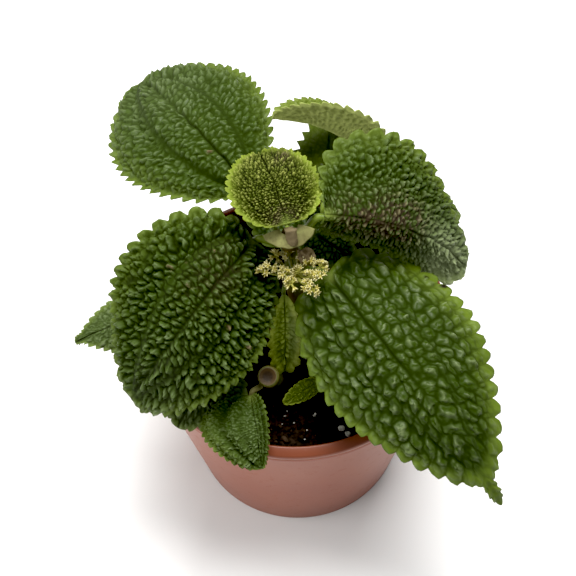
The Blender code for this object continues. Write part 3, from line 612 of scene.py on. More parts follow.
# %% [markdown]
# ## Quilting
#
# On a real leaf the net of veins is sunk and each mesh of the net puffs up into a cone,
# 1 to 4 mm wide here. A cobble pattern gives the net. One way it counts steps along the
# margin, and the other way cone widths from the midrib, so cones keep their size where
# the leaf narrows. Noise bends the lattice. The midrib, two side ribs and the margin are
# added, and the same arrays colour it all.

# %% Relief and colour layers of a blade
SIDE_RIB = 0.45
CELL_REACH = 0.75
MARGIN_LENGTH = 110


def bells(listed, share, y):
    """For each (middle, off, spread, reach, strength): a bell over share and over mm from the midrib."""
    total = np.zeros(y.shape)
    for middle, off, spread, reach, strength in listed:
        total = total + strength * np.exp(-(((share - middle) / spread) ** 2) * 2 - ((y - off) / reach) ** 2)
    return total


def dots(listed, share, t, width):
    """Round spots, each at a share of the margin, taken as 110 mm, and a t across, with a radius in mm."""
    total = np.zeros((len(share), len(t)))
    for along, beside, radius in listed:
        away = np.hypot((share - along) * MARGIN_LENGTH, (t[None, :] - beside) * width)
        total = np.maximum(total, 1 - ease(0.6 * radius, 1.4 * radius, away))
    return total


def quilting(name, leaf, flat):
    """Height in mm over the smooth blade, and the colour layers, on the blade's grid. A cone is a flat-topped
    dome blended with a straight-sided cone, and smaller bumps pucker it. The ribs' beds press it down."""
    seed = sum(map(ord, name))
    share, t, x, y = flat.share[:, None], np.abs(flat.t)[None, :], flat.x, flat.y
    size, grain = leaf.cone, 0.45 * leaf.cone
    rungs = leaf.rows if leaf.by_teeth else max(leaf.rows, round(flat.run / size))
    a = flat.teeth + 0 * y if leaf.by_teeth else share * rungs + 0 * y
    a = a + 0.3 * noise(y / 6, a / 2, seed + 5) * (1 - t**4)
    b = y / size + 0.35 * noise(a / 1.5, y / 5, seed + 6)
    a = a + leaf.ruffle * noise(x / grain, y / grain, seed + 8)
    b = b + leaf.ruffle * noise(x / grain + 31, y / grain, seed + 9)
    near, border, own, other = cobbles(a, b, seed, leaf.jitter)
    close, _, grainy, _ = cobbles(2.2 * a, 2.2 * b, seed + 10, (0.6, 0.9))
    knob, cone = np.clip(1 - close / CELL_REACH, 0, 1), np.clip(1 - near / CELL_REACH, 0, 1)
    star = ease(0.7, 0.97, 1 - np.abs(noise(2.6 * a, 2.6 * b + 17, seed + 11)))
    gap = np.linalg.norm(np.stack(np.gradient(np.stack([x, y]), axis=1)), axis=0)
    small = np.clip(gap * len(share) / rungs / size, 0.25, 1)
    dome = ease(0.0, leaf.plateau, border)
    lift = ((1 - leaf.peak) * dome + leaf.peak * cone) * (0.6 + 0.55 * own)
    lift = lift + leaf.pucker * (knob - 0.35 + leaf.star * (star - 0.4)) * (0.25 + 0.75 * dome)

    width = flat.out[:, None] + 1e-6
    from_rib = np.abs(y + 0.4 * noise(x / 4, 0 * x, seed + 12) * ease(0, 20, x))
    from_side = np.abs(t - SIDE_RIB * (1 - 0.25 * share)) * width
    gone = leaf.fade * ease(0.45, 0.8, share)
    rib_bed = 1 - (1 - ease(0.05, leaf.crease, from_rib)) * (1 - gone)
    groove = leaf.furrow * (1 - ease(0.0, leaf.side, from_side))
    beds = rib_bed * (1 - groove)
    shore = np.minimum((1 - t) * width, (1 - share) * flat.run)
    rim = 1 - ease(0.4 * leaf.brim, 1.3 * leaf.brim, shore)
    inland = ease(0.0, 0.06, share) * (1 - ease(0.95, 1.0, share))
    inner = np.abs(np.sin(math.pi * np.clip(t / SIDE_RIB / 1.05, 0, 1)))
    outer = np.sin(math.pi * np.clip((t - 0.5) / 0.42, 0, 1))
    count, tall = leaf.pleats
    pleat = np.cos(2 * math.pi * count * t + 1.5 * noise(3 * share, 2 * t, seed + 13))
    pleat = pleat * ease(0.05, 0.4, t)
    lobe = np.abs(flat.teeth - np.round(flat.teeth))
    height = leaf.relief * lift * small * beds * (1 - 0.6 * rim)
    height = height + leaf.puff * (inner + outer) * np.clip(width / 12, 0, 1)
    height = height + tall * pleat * np.clip(width / 8, 0, 1) * (1 - t**6)
    height = height + 0.25 * leaf.relief * rim * ease(0.0, 0.3, lobe)
    height = height - 0.3 * (1 - rib_bed) + leaf.flare * (1 - ease(0.0, 1.5 * leaf.brim, shore))

    # Painted shade: the sunk net, the rib beds, the side grooves, the pleat folds and the lines at notches
    # and along the margin are darkened in colour.
    net = leaf.depth * (1 - ease(0.0, leaf.valley, border)) * (1 - 0.6 * rim)
    notch = (1 - ease(0.02, 0.12, lobe)) * ease(0.6, 0.8, t)
    seam = np.exp(-(((shore - 1.1 * leaf.brim) / 0.3) ** 2))
    lines = leaf.lines * np.maximum(0.75 * notch, 0.5 * seam)
    folds = 0.5 * min(tall, 1) * ease(0.3, 1.0, -pleat)
    hollow = np.maximum.reduce([net, 1 - rib_bed, 0.6 * groove * (1 - rim), folds, lines])
    # The yellower margin reaches in from 0.6 of the half width. Its strength, set per leaf and per side, also
    # paints light on sides that sit in shade, and there it thins the painted shade.
    fringe = by_side(leaf.fringe, flat.t) * ease(0.6, 1.0, t)
    # Painted glint on the cones: from the knobs and star creases, or from the cone's height where shine is
    # low.
    glint = np.maximum(ease(leaf.spark, leaf.spark + 0.6, knob), 1.3 * leaf.star * star)
    glint = leaf.shine * dome * glint * (0.45 + 0.55 * own) + (1 - leaf.shine) * ease(0.3, 1.05, lift)
    streak = np.exp(-((from_rib / 0.1) ** 2)) * leaf.streak * ease(0.2, 0.5, share)
    patchy = 0.15 + 1.1 * ease(0.3, 0.65, 0.4 * own + 0.6 * grainy)
    tips = dots([(*place, 1.2) for place in leaf.tips], share, flat.t, width)
    layers = dict(
        hollow=hollow * (1 - 0.4 * fringe),
        crest=glint * (1 - 0.7 * rim) * beds,
        margin=np.maximum(0.8 * rim, fringe),
        tone=0.4 * other * (1 - rim),
        rib=streak + 0.8 * np.exp(-((x / 2.2) ** 2) - (y / 1.6) ** 2),
        bronze=bells(leaf.bronze, share, y) * patchy,
        # Painted sheen: a pale grey-green bell, stronger on the cones, that lightens parts of a blade which
        # sit in shade.
        wash=bells(leaf.wash, share, y) * (0.5 + 0.5 * lift),
        blush=0.9 * tips * ease(0.2, 0.8, lift),
        scar=dots(leaf.scars, share, flat.t, width),
    )
    layers = {layer: np.broadcast_to(np.clip(values, 0, 1), y.shape) for layer, values in layers.items()}
    return height * inland, layers


# %% [markdown]
# ## From grid to closed blade
#
# A blade is about half a millimetre thick. The lower face is the upper one pushed back
# square to the surface, so cones on top are pits below, with the midrib standing out.
# The first row is drawn together to one pole on each face and the last row too, and a
# thin strip round the margin closes the two faces.

# %% Sewing a blade
BLADE = 0.55
RIB = 0.7
UNDER = 0.8


def with_poles(upper, lower):
    """Both grids as one list: the upper rows, the lower rows, then the four poles."""
    middle = upper.shape[1] // 2
    poles = [grid[end, middle] for end in (0, -1) for grid in (upper, lower)]
    return np.concatenate([grid[1:-1].reshape(-1, *grid.shape[2:]) for grid in (upper, lower)] + [poles])


def sewn_blade(upper, lower):
    """Upper and lower grids (rows, columns, 3) as one closed skin with a pole at either end of each."""
    rows, columns, _ = upper.shape
    inner = (rows - 2) * columns
    points = with_poles(upper, lower)
    i, j = np.meshgrid(np.arange(rows - 3), np.arange(columns - 1), indexing="ij")
    a = (i * columns + j).ravel()
    quad = np.stack([a, a + columns, a + columns + 1, a + 1], axis=-1)
    j = np.arange(columns - 1)
    last = (rows - 3) * columns
    base = np.stack([np.full(columns - 1, 2 * inner), j, j + 1], axis=-1)
    tip = np.stack([np.full(columns - 1, 2 * inner + 2), last + j + 1, last + j], axis=-1)
    faces = [quad, base, tip, quad[:, ::-1] + inner]
    faces += [np.stack([fan[:, 0] + 1, fan[:, 2] + inner, fan[:, 1] + inner], axis=-1) for fan in (base, tip)]
    steps = np.arange(rows - 2) * columns
    for column, turn in ((0, 1), (columns - 1, -1)):
        top = np.concatenate([[2 * inner], steps + column, [2 * inner + 2]])
        low = np.concatenate([[2 * inner + 1], steps + column + inner, [2 * inner + 3]])
        faces.append(np.stack([top[:-1], low[:-1], low[1:], top[1:]], axis=-1)[:, ::turn])
    return points, facing_out(points, faces)


# %% Stem axes, for the stalks to start from
STEM_RINGS = 11
SEAT = 0.6
NODE_SWELL = 0.12


def stem_line(name):
    """The stem's axis as rings, and the radius at each, a little thicker at every fourth ring."""
    foot, top = RADII[name]
    swell = 1 + NODE_SWELL * np.maximum(np.cos(np.linspace(0, 5 * math.pi, STEM_RINGS)), 0) ** 4
    swell[:4] = 1
    swell[-1] = 1
    return spline(STEMS[name], STEM_RINGS), np.linspace(foot, top, STEM_RINGS) * swell


def stem_near(point):
    """The nearest point of any stem's axis, the stem's direction there and its radius."""
    found = []
    for line, radii in map(stem_line, STEMS):
        a, along = line[:-1], line[1:] - line[:-1]
        share = np.clip(((point - a) * along).sum(axis=1) / (along**2).sum(axis=1), 0, 1)
        spots = a + along * share[:, None]
        away = np.linalg.norm(point - spots, axis=1)
        k = int(np.argmin(away))
        found.append((away[k], spots[k], unit(along[k]), max(radii[k], radii[k + 1])))
    return min(found, key=lambda item: item[0])[1:]


def stalk_line(leaf, count=26):
    """Cubic Bezier from the stem, square to it, to the blade's base, then on under the rib. A stalk from the
    stem's tip goes straight on, and one from the soil goes straight up."""
    base, axil = np.array(leaf.base, float), np.array(leaf.axil, float)
    tip = leaf.grows_from == "tip"
    if leaf.grows_from == "soil":
        start, first = axil, np.array((0.0, 0.0, 1.0))
    else:
        spot, along, radius = stem_near(axil)
        away = base - spot
        first = along if tip else unit(away - along * (away @ along))
        start = spot + first * (SEAT if tip else radius + SEAT)
    ahead, _ = midrib(leaf, np.array([0.0, 0.05, 0.13]))
    pull = np.linalg.norm(base - start) / 3
    enter = unit(ahead[1] - ahead[0]) * (0.2 if tip else 1.0)
    knots = (start, start + first * pull, base - enter * pull, base)
    t = np.linspace(0, 1, count)[:, None]
    curve = sum(k * knot * t**n * (1 - t) ** (3 - n) for n, (k, knot) in enumerate(zip((1, 3, 3, 1), knots)))
    thick, thin = leaf.petiole
    under = unit(np.array(leaf.face, float)) * (BLADE + 0.35 + thin)
    radii = np.concatenate([np.linspace(thick, thin, count), [thin * 0.8, thin * 0.5]])
    return np.concatenate([curve - under * ease(0.6, 1.0, t), ahead[1:] - under * 0.9]), radii


# %% Make the leaves
STALK_SIDES = 14


def fine_leaf(name):
    """Blade and stalk of one leaf, in one piece. The stalk's colour fades towards the rib."""
    leaf = SimpleNamespace(**LEAF | LEAVES[name])
    flat = flat_blade(leaf, leaf.rows * leaf.fine, leaf.across)
    smooth, hint = bent_blade(leaf, flat)
    normal = looks(smooth, hint)
    height, layers = quilting(name, leaf, flat)
    upper = smooth + normal * height[..., None]
    depth = BLADE * (1 - 0.5 * ease(0.9, 1.0, np.abs(flat.t)))
    ribbed = RIB * np.exp(-((flat.y / 0.7) ** 2)) * (1 - flat.share)[:, None]
    points, faces = sewn_blade(upper, upper - normal * (depth + ribbed)[..., None])
    layers = {layer: with_poles(values, values) for layer, values in layers.items()}
    layers["under"] = with_poles(0 * height, 0 * height + UNDER)
    line, radii = stalk_line(leaf)
    stalk, skin = tube(line, radii, STALK_SIDES)
    ring = np.minimum(np.arange(len(stalk)) // STALK_SIDES, len(line) - 1)
    green = 0.35 + 0.65 * np.clip((len(line) - ring) / 8, 0, 1)
    shape = joined([(points, faces, layers), (stalk, skin, {"stalk": green, "blush": leaf.tan})])
    slot = "young_leaf" if name in YOUNG else "leaf"
    return new_piece(name + "_blade", shape, SKINS[leaf.skin], slot, name)


leaves = [fine_leaf(name) for name in LEAVES]
print("leaf faces:", sum(len(piece.data.polygons) for piece in leaves))

# %% [markdown]
# ## Stems
#
# The stems are juicy, olive green with a brown flush at the nodes. The cut one ends in
# a slightly sunk disc with a paler ring of bark and a dark, dried pith.

# %% Stem material and shape
CUT_SHARES = np.array([1.0, 0.96, 0.82, 0.7, 0.45, 0.2, 0.08])
CUT_SINK = np.array([0.0, 0.12, 0.0, -0.1, -0.25, -0.3, -0.35])


def stem_skin():
    """Succulent green stem, with a waxy skin that looks smooth, and brown streaks of about 1 mm along it."""
    material, tree = new_material("green_stem_skin")
    streak = speckle(tree, 10 / 9, 3, drawn=0.25)
    colour = paint(
        tree, "#6a7430", (streak, "#4c4a20", 0.35, 0.7, 1.0), (speckle(tree, 9), "#5a4630", 0.45, 0.7, 0.8),
        ("node", "#59422c"), ("cut", "#3e2e16"), ("bark", "#625a3e"), ("pith", "#20160a"),
    )
    bump = (streak, 0.4, 0.3)
    return finished(material, bump, Base_Color=colour, Roughness=0.5, IOR=1.42, Specular_IOR_Level=0.25)


def fine_stem(name, rings=56, around=28):
    """Rings round the stem's spline, with swollen nodes, and across the disc of a cut top too."""
    line = spline(STEMS[name], rings)
    radii = np.interp(np.linspace(0, 1, rings), np.linspace(0, 1, STEM_RINGS), stem_line(name)[1])
    where = np.linspace(0, STEM_RINGS - 1, rings)
    node = np.exp(-(((where + 2) % 4 - 2) ** 2) / 0.15) * (where > 3)
    radii = radii * (1 + 0.05 * node)
    layers = {"node": 0.7 * node}
    if name == "cut_stem":
        cuts = len(CUT_SHARES)
        heading = unit(line[-1] - line[-3])
        line = np.concatenate([line[:-1], line[-1] + heading * CUT_SINK[:, None]])
        radii = np.concatenate([radii[:-1], radii[-1] * CUT_SHARES])
        tangent = unit(np.gradient(line[:rings], axis=0))
        tangent = np.concatenate([tangent, np.repeat(tangent[-1:], cuts - 1, axis=0)])
        side = unit(np.cross(tangent, ASKEW))
        points, faces = ringed(line, radii, side, np.cross(tangent, side), around)
        ring = np.arange(len(line))
        layers = {
            "cut": 1.0 * (ring >= rings),
            "bark": 0.7 * (ring == rings),
            "pith": 0.8 * (ring >= len(line) - 3),
            "node": np.concatenate([0.7 * node[:-1], np.zeros(cuts)]),
        }
    else:
        points, faces = tube(line, radii, around)
    layers = {key: np.append(np.repeat(values, around), [0, values[-1]]) for key, values in layers.items()}
    return points, faces, layers


green_stem = stem_skin()
for name in STEMS:
    new_piece(name + "_skin", fine_stem(name), green_stem, "stem", name)

# %% [markdown]
# ## Pot
#
# A 10.5 cm nursery pot, injection-moulded in terracotta-coloured polypropylene. The
# wall tapers, a thin groove sets off the lip, and the lip rolls inwards. Moulded plastic
# gives the eye an even colour with a broad soft gleam, and here a few dusty scuffs.

# %% Pot material and shape
BASE_RADIUS = 39.5
RIM_RADIUS = 52.5
RIM_HEIGHT = 82.1
LIP_TOP = 84.4
LIP_WIDTH = 3.4
LIP_DEPTH = 2.6
LIP_ROUND = 0.7
WALL = 1.6
FLOOR = 2.2
DRAIN_HOLES = 6
DRAIN_RADIUS = 4.0
DRAIN_RING = 27.0
CRISP_EDGE = math.radians(38)


def pot_plastic():
    """Injection-moulded polypropylene: IOR 1.49, satin, with dusty scuffs, crumbs of soil stuck inside, and
    painted shade on the lip and the inner wall. The mould's grain is drawn at 0.6 mm, coarser than it is, so
    that it shows."""
    material, tree = new_material("moulded_polypropylene")
    dust = speckle(tree, 3, 6, 0.65)
    # Painted shade: the rolled lip and the inside of the pot are darker than the outer wall.
    colour = paint(
        tree, "#884a32", (speckle(tree, 26), "#82432d", 0.3, 0.7, 1.0), ("lip", "#6f3a25"),
        ("inside", "#5c2a19"),
    )
    scuffed = paint(tree, colour, (dust, "#946855", 0.56, 0.8, 0.3))
    colour = paint(tree, colour, (speckle(tree, 17), scuffed, 0.4, 0.65, 1.0))
    soiled = paint(tree, colour, (speckle(tree, 1.2), "#1d130d", 0.68, 0.74, 1.0))
    colour = paint(tree, colour, ("inside", soiled))
    rough = add_node(tree, "MapRange", Value=dust, From_Min=0.56, From_Max=0.8, To_Min=0.36, To_Max=0.5)
    bump = (speckle(tree, 0.6), 0.12, 0.1)
    return finished(material, bump, Base_Color=colour, Roughness=rough, IOR=1.49, Specular_IOR_Level=0.35)


def wall_radius(z):
    """Outside of the wall: a straight taper from the base to the lip."""
    return BASE_RADIUS + (RIM_RADIUS - BASE_RADIUS) * z / RIM_HEIGHT


def arc(x, z, radius, first, last, count):
    """Points of an arc about a middle, angles in degrees."""
    turn = np.radians(np.linspace(first, last, count))
    return np.stack([x + radius * np.cos(turn), z + radius * np.sin(turn)], axis=-1)


def pot_profile():
    """(radius, height) from the middle of the inner floor, up the inside, over the lip and down outside."""
    neck = RIM_HEIGHT - LIP_DEPTH
    lip_in = RIM_RADIUS - LIP_WIDTH
    inner = [(0.02, FLOOR), (wall_radius(FLOOR) - WALL - 1.5, FLOOR)]
    inner += [(wall_radius(z) - WALL, z) for z in np.linspace(FLOOR + 1.5, neck - 4, 14)]
    inner += [(lip_in, neck), (lip_in, LIP_TOP - LIP_ROUND)]
    top = arc(lip_in + LIP_ROUND, LIP_TOP - LIP_ROUND, LIP_ROUND, 180, 80, 7)
    slope = arc(RIM_RADIUS - 1.3, RIM_HEIGHT - 0.3, 1.3, 70, -40, 10)
    groove = [(wall_radius(neck) - sunk, neck + up) for sunk, up in ((0.1, 0.5), (0.35, 0), (0.12, -0.8))]
    outer = [(wall_radius(z), z) for z in np.linspace(neck - 1.6, 1.6, 26)]
    foot = arc(BASE_RADIUS - 0.8, 1.0, 1.0, 0, -90, 6)
    return np.concatenate([inner, top, slope, groove, outer, foot, [(30.0, 0.0), (0.02, 0.0)]])


def fine_pot(around=144):
    """The profile turned round the axis, with layers for the inside and the lip, where shade is painted."""
    profile = pot_profile()
    points, faces = capped(polar(profile[:, :1], full_turn(around), profile[:, 1:]))
    radius, z = np.hypot(points[:, 0], points[:, 1]), points[:, 2]
    outward = wall_radius(z) - radius
    inside = ((z > FLOOR - 0.1) & (z < LIP_TOP - 0.3)) * ease(1.2, 2.6, outward)
    return points, faces, {"inside": inside, "lip": ease(RIM_HEIGHT - 0.8, RIM_HEIGHT + 0.6, z)}


def drill(piece, x, y):
    """A drain hole: a cylinder taken out of the floor by a Boolean, which is then applied."""
    points, faces = tube([(x, y, -2.0), (x, y, 1.0), (x, y, FLOOR + 2)], DRAIN_RADIUS, 32)
    cutter = placed("drill", mesh_from("drill", points, faces))
    cut = piece.modifiers.new("drain", "BOOLEAN")
    cut.object, cut.solver, cut.operation = cutter, "EXACT", "DIFFERENCE"
    bpy.context.view_layer.update()
    piece.data = bpy.data.meshes.new_from_object(piece.evaluated_get(bpy.context.evaluated_depsgraph_get()))
    piece.modifiers.clear()
    bpy.data.objects.remove(cutter)


pot = new_piece("pot_shell", fine_pot(), pot_plastic(), "pot", "pot")
for x, y, _ in polar(DRAIN_RING, full_turn(DRAIN_HOLES) + math.pi / DRAIN_HOLES, 0):
    drill(pot, x, y)
pot.data.set_sharp_from_angle(angle=CRISP_EDGE)
print("pot faces after drilling:", len(pot.data.polygons))

# %% [markdown]
# ## Potting mix
#
# Damp peat with a few grains of white perlite. The bulk is one closed body whose top
# is a noisy disc. On it lie about 1,400 crumbs, each a lumpy ball of twenty faces, all
# computed at once.

# %% Soil materials and bulk
SOIL_TOP = 75.0
SOIL_WAVES = ((0.9, 9, 3), (0.6, 3.2, 4), (0.3, 1.3, 5))
SOIL_EDGE = wall_radius(SOIL_TOP) - WALL - 0.35


def peat():
    """Damp peat: almost black and matt, with brown specks and lighter crumbs."""
    material, tree = new_material("damp_peat")
    speck = speckle(tree, 1.6, 4)
    colour = paint(tree, "#0c0906", (speck, "#2c2016", 0.42, 0.68, 1.0), ("pale", "#4a3a2a", 0.7, 1.0, 0.8))
    bump = (speckle(tree, 0.7, 5), 0.8, 0.6)
    return finished(material, bump, Base_Color=colour, Roughness=0.9, Specular_IOR_Level=0.15)


def expanded_glass():
    """Perlite, a popped volcanic glass: white to grey, rough and porous, dirty from the peat."""
    material, tree = new_material("perlite")
    colour = paint(tree, "#c9c6bd", (speckle(tree, 1.5, 4), "#6b6358", 0.45, 0.7, 1.0))
    return finished(material, (speckle(tree, 0.4, 3), 0.6, 0.3), Base_Color=colour, Roughness=0.8)


def soil_height(x, y):
    """Top of the mix at a place: noise of three heights and widths, and a dip of 1 mm at the pot's wall."""
    waves = sum(tall * noise(x / wide, y / wide, seed) for tall, wide, seed in SOIL_WAVES)
    return SOIL_TOP + waves - ease(SOIL_EDGE - 6, SOIL_EDGE, np.hypot(x, y))


def soil_bulk(rings=80, around=160):
    """A disc of rings with noisy heights, a skirt down the pot's wall, and a floor."""
    turn, bottom = full_turn(around), FLOOR + 0.4
    top = polar(SOIL_EDGE * np.linspace(0.01, 1, rings)[:, None] ** 0.8, turn, 0.0)
    top[..., 2] = soil_height(top[..., 0], top[..., 1])
    skirt = [polar(radius, turn, bottom) for radius in (wall_radius(bottom) - WALL - 0.4, 1.0)]
    points, faces = capped(np.concatenate([top, skirt]))
    return points, faces, {"pale": np.zeros(len(points))}


damp_peat = peat()
new_piece("soil_bulk", soil_bulk(), damp_peat, "soil", "soil")

# %% Crumbs and perlite
CRUMBS = 1500
GRAINS = [
    (5.1, -33.7, 0.9), (-4.5, -34.0, 0.55), (-1.7, -36.7, 0.45), (3.5, -32.9, 0.45), (-5.6, -36.9, 0.35),
    (14.0, -39.2, 1.2), (15.9, -41.1, 1.3), (-3.8, -32.2, 0.3), (2.5, -39.5, 0.3), (1.6, -43.0, 0.35),
]


def icosahedron():
    """Corners at (+-1, +-golden, 0) and its two turns of axes. Its faces are the corners by threes that lie 2
    apart, in the order that looks outwards, where a . (b x c) is above 0."""
    golden = (1 + 5**0.5) / 2
    first = [(x, y * golden, 0.0) for y in (1, -1) for x in (-1, 1)]
    corners = np.concatenate([np.roll(first, turn, axis=1) for turn in range(3)])
    faces = []
    for a, b, c in itertools.combinations(range(len(corners)), 3):
        sides = corners[[a, b, c]] - corners[[b, c, a]]
        if np.allclose(np.linalg.norm(sides, axis=1), 2):
            faces.append((a, b, c) if corners[a] @ np.cross(corners[b], corners[c]) > 0 else (a, c, b))
    return unit(corners), np.array(faces)


def lumps(places, sizes, seed, flat=0.7):
    """A lumpy ball at each place: corners moved in or out, then stretched, squashed and turned."""
    rng = np.random.default_rng(seed)
    corners, faces = icosahedron()
    count = len(places)
    shape = corners[None] * rng.uniform(0.72, 1.2, (count, 12, 1))
    shape = shape * rng.uniform(0.6, 1.3, (count, 1, 3)) * (1, 1, flat)
    turn = rng.uniform(0, 2 * math.pi, count)
    cos, sin = np.cos(turn)[:, None], np.sin(turn)[:, None]
    x, y, z = shape[..., 0], shape[..., 1], shape[..., 2]
    shape = np.stack([x * cos - y * sin, x * sin + y * cos, z], axis=-1) * np.asarray(sizes)[:, None, None]
    points = (np.asarray(places)[:, None] + shape).reshape(-1, 3)
    all_faces = (faces[None] + 12 * np.arange(count)[:, None, None]).reshape(-1, 3)
    return points, [all_faces], {"pale": np.repeat(rng.random(count), 12)}


def scattered(count, seed, low, high):
    """Random places on the soil, clear of the stems, with sizes drawn so that small ones are common."""
    rng = np.random.default_rng(seed)
    radius = (SOIL_EDGE - 1.5) * np.sqrt(rng.random(count))
    x, y, _ = polar(radius, rng.uniform(0, 2 * math.pi, count), 0.0).T
    feet = np.array([stem_line(name)[0][3][:2] for name in STEMS])
    clear = np.hypot(x[:, None] - feet[:, 0], y[:, None] - feet[:, 1]).min(axis=1) > 5
    sizes = low + (high - low) * rng.random(count) ** 3
    places = np.stack([x, y, soil_height(x, y) + 0.25 * sizes], axis=-1)
    return places[clear], sizes[clear]


def perlite_grains():
    """The grains that the picture shows, by place and radius in mm, and more of them further back."""
    x, y, radius = np.array(GRAINS).T
    more, sizes = scattered(46, 31, 0.5, 1.3)
    behind = more[:, 1] > -20
    places = np.concatenate([np.stack([x, y, soil_height(x, y) + 0.5], axis=-1), more[behind]])
    return lumps(places, np.concatenate([radius, sizes[behind]]), 32, 0.9)


new_piece("soil_crumbs", lumps(*scattered(CRUMBS, 21, 0.35, 1.6), 22), damp_peat, "soil")
new_piece("perlite_grains", perlite_grains(), expanded_glass(), "soil")

# %% [markdown]
# ## Sheath and dried scale
#
# Where the top leaves part, two stipules grown together clasp the stem: a thin, dull
# membrane, straw green, with the brown stub of an old flower stalk on its front. Beside
# the node hangs a dried brown scale.

# %% Sheath
SHEATH_MIDDLE = (-1.0, -5.35, 0.0)
SHEATH_FOOT = (2.4, 137.8)
SHEATH_TOP = (5.6, 141.0)
SHEATH_SPREAD = 82.0
SHEATH_FLARE = 0.55
SHEATH_TILT = 2.2
SHEATH_RISE = 1.7
STUB = [(0.1, -10.4, 141.0), (-0.1, -9.4, 143.6), (-0.4, -8.3, 146.2)]


def membrane(name, pale, dark, vein):
    """Papery plant membrane: dull, with darker veins along it, drawn at 0.8 mm so that they show."""
    material, tree = new_material(name)
    lines = speckle(tree, 1 / 1.3, drawn=0.2)
    colour = paint(
        tree, pale, (speckle(tree, 3), dark, 0.35, 0.65, 1.0), (lines, vein, 0.5, 0.75, 0.5),
        ("dead", "#62563c"),
    )
    return finished(material, (lines, 0.3, 0.2), Base_Color=colour, Roughness=0.6, Specular_IOR_Level=0.2)


def sheath():
    """A half funnel in shallow folds: the radius grows as share^1.3 from foot to top, more at both sides, and
    the rim rises to the right. The inner face runs in from the rim and up to SHEATH_RISE over it."""
    across = np.linspace(-1, 1, 61)[None, :]
    turn = np.radians(-90 + SHEATH_SPREAD * across)
    t = np.linspace(0, 1, 26)[:, None]
    (narrow, low), (wide, high) = SHEATH_FOOT, SHEATH_TOP
    radius = narrow + 0.35 + (wide - narrow) * t**1.3 * (1 + SHEATH_FLARE * across**2)
    radius = radius + (0.12 * np.sin(11 * turn) + 0.1 * noise(6 * across, 3 * t, 8)) * t
    height = low + (high - low + SHEATH_TILT * np.maximum(across, 0) ** 2) * t
    outer = polar(radius + 0.4, turn, height - 0.15)
    inner = polar(radius, turn, height[-1:] + SHEATH_RISE * (1 - t**2))
    loop = np.concatenate([outer, inner[:, ::-1]], axis=1) + SHEATH_MIDDLE
    rows, around, _ = loop.shape
    j = np.arange(around // 2 - 1)
    first = np.stack([j, j + 1, around - 2 - j, around - 1 - j], axis=-1)
    points = loop.reshape(-1, 3)
    faces = [ring_grid(rows, around), first[:, ::-1], first + (rows - 1) * around]
    return points, facing_out(points, faces), {"dead": np.zeros(len(points))}


def stub():
    """Remains of a flower stalk: a short, ragged, dry tube on the sheath's front."""
    points, faces = tube(spline(STUB, 14), np.append(np.linspace(1.4, 1.9, 5), np.full(9, 1.9)), 22, 0.6)
    ragged = 0.45 * noise(points[:, 0] * 1.6, points[:, 2] * 1.2, 9)
    return points + ragged[:, None] * (1.0, 0.6, 0.4), faces, {"dead": np.ones(len(points))}


sheath_skin = membrane("green_stipule", "#7c7c4a", "#68653c", "#504c2e")
new_piece("sheath_membrane", joined([sheath(), stub()]), sheath_skin, "young_leaf", "stipule_sheath")

# %% Dried scale
SCALE = dict(
    base=(2.5, -7.4, 132.8), tip=(6.4, -9.6, 129), face=(0.2, -0.6, 0.8), axil=(-0.6, -2.6, 127.5),
    half_width=2.6, rows=6, tooth=0.0, curl=(20, 20), petiole=(0.7, 0.6),
)


def dried_scale():
    """A small cupped blade, made as the leaves are but untoothed and crumpled by noise."""
    leaf = SimpleNamespace(**LEAF | SCALE)
    flat = flat_blade(leaf, 30, 16)
    smooth, hint = bent_blade(leaf, flat)
    normal = looks(smooth, hint)
    crumple = 0.7 * noise(flat.x / 1.1, flat.y / 0.9, 41) * (1 - flat.share[:, None] ** 6)
    upper = smooth + normal * crumple[..., None]
    points, faces = sewn_blade(upper, upper - normal * 0.4)
    return joined([(points, faces, {}), (*tube(*stalk_line(leaf), 10), {"dead": 0.3})])


dry_skin = membrane("dried_stipule", "#8c7c5e", "#5e5138", "#3a3020")
new_piece("dried_scale", dried_scale(), dry_skin, "dry", "dried_stipule")

# %% [markdown]
# ## Flowers
#
# A pale green stalk forks into twigs with a head of tiny cream flowers each. A flower
# is only 2 to 3 mm wide, so it is one closed star whose outline swings in and out, with
# raised, whiter tips.

# %% Flower cluster
STALK = [(-0.5, -6.2, 126), (-0.3, -9, 127.2), (0, -12, 128)]
HEADS = [
    (-5.2, -6.1), (-1.2, -5.5), (-6.9, -10.5), (-9, -11.5), (-4.2, -12), (-2.4, -13.2), (-0.9, -15.8),
    (3, -7.2), (4.8, -9.2), (1.6, -12.3), (8.4, -10.4), (5.2, -14.3), (3.6, -16.8), (5.6, -18.7),
    (7.6, -14.4),
]
HEAD_HEIGHT = 128.6
FLORETS = 7
LOBES = 5
GOLDEN_ANGLE = 2.39996


def petal_wax():
    """Waxy flower flesh: cream to white at the tips, greenish yellow at the heart and on the stalks."""
    material, tree = new_material("cream_tepals")
    shade = (speckle(tree, 2.2), "#8f8430", 0.4, 0.7, 0.5)
    colour = paint(tree, "#a69b48", ("tip", "#d2cc9e"), shade, ("green", "#6f7830"))
    glow = dict(Subsurface_Weight=0.15, Subsurface_Radius=(0.0012, 0.001, 0.0004))
    return finished(material, Base_Color=colour, Roughness=0.5, IOR=1.4, **glow)


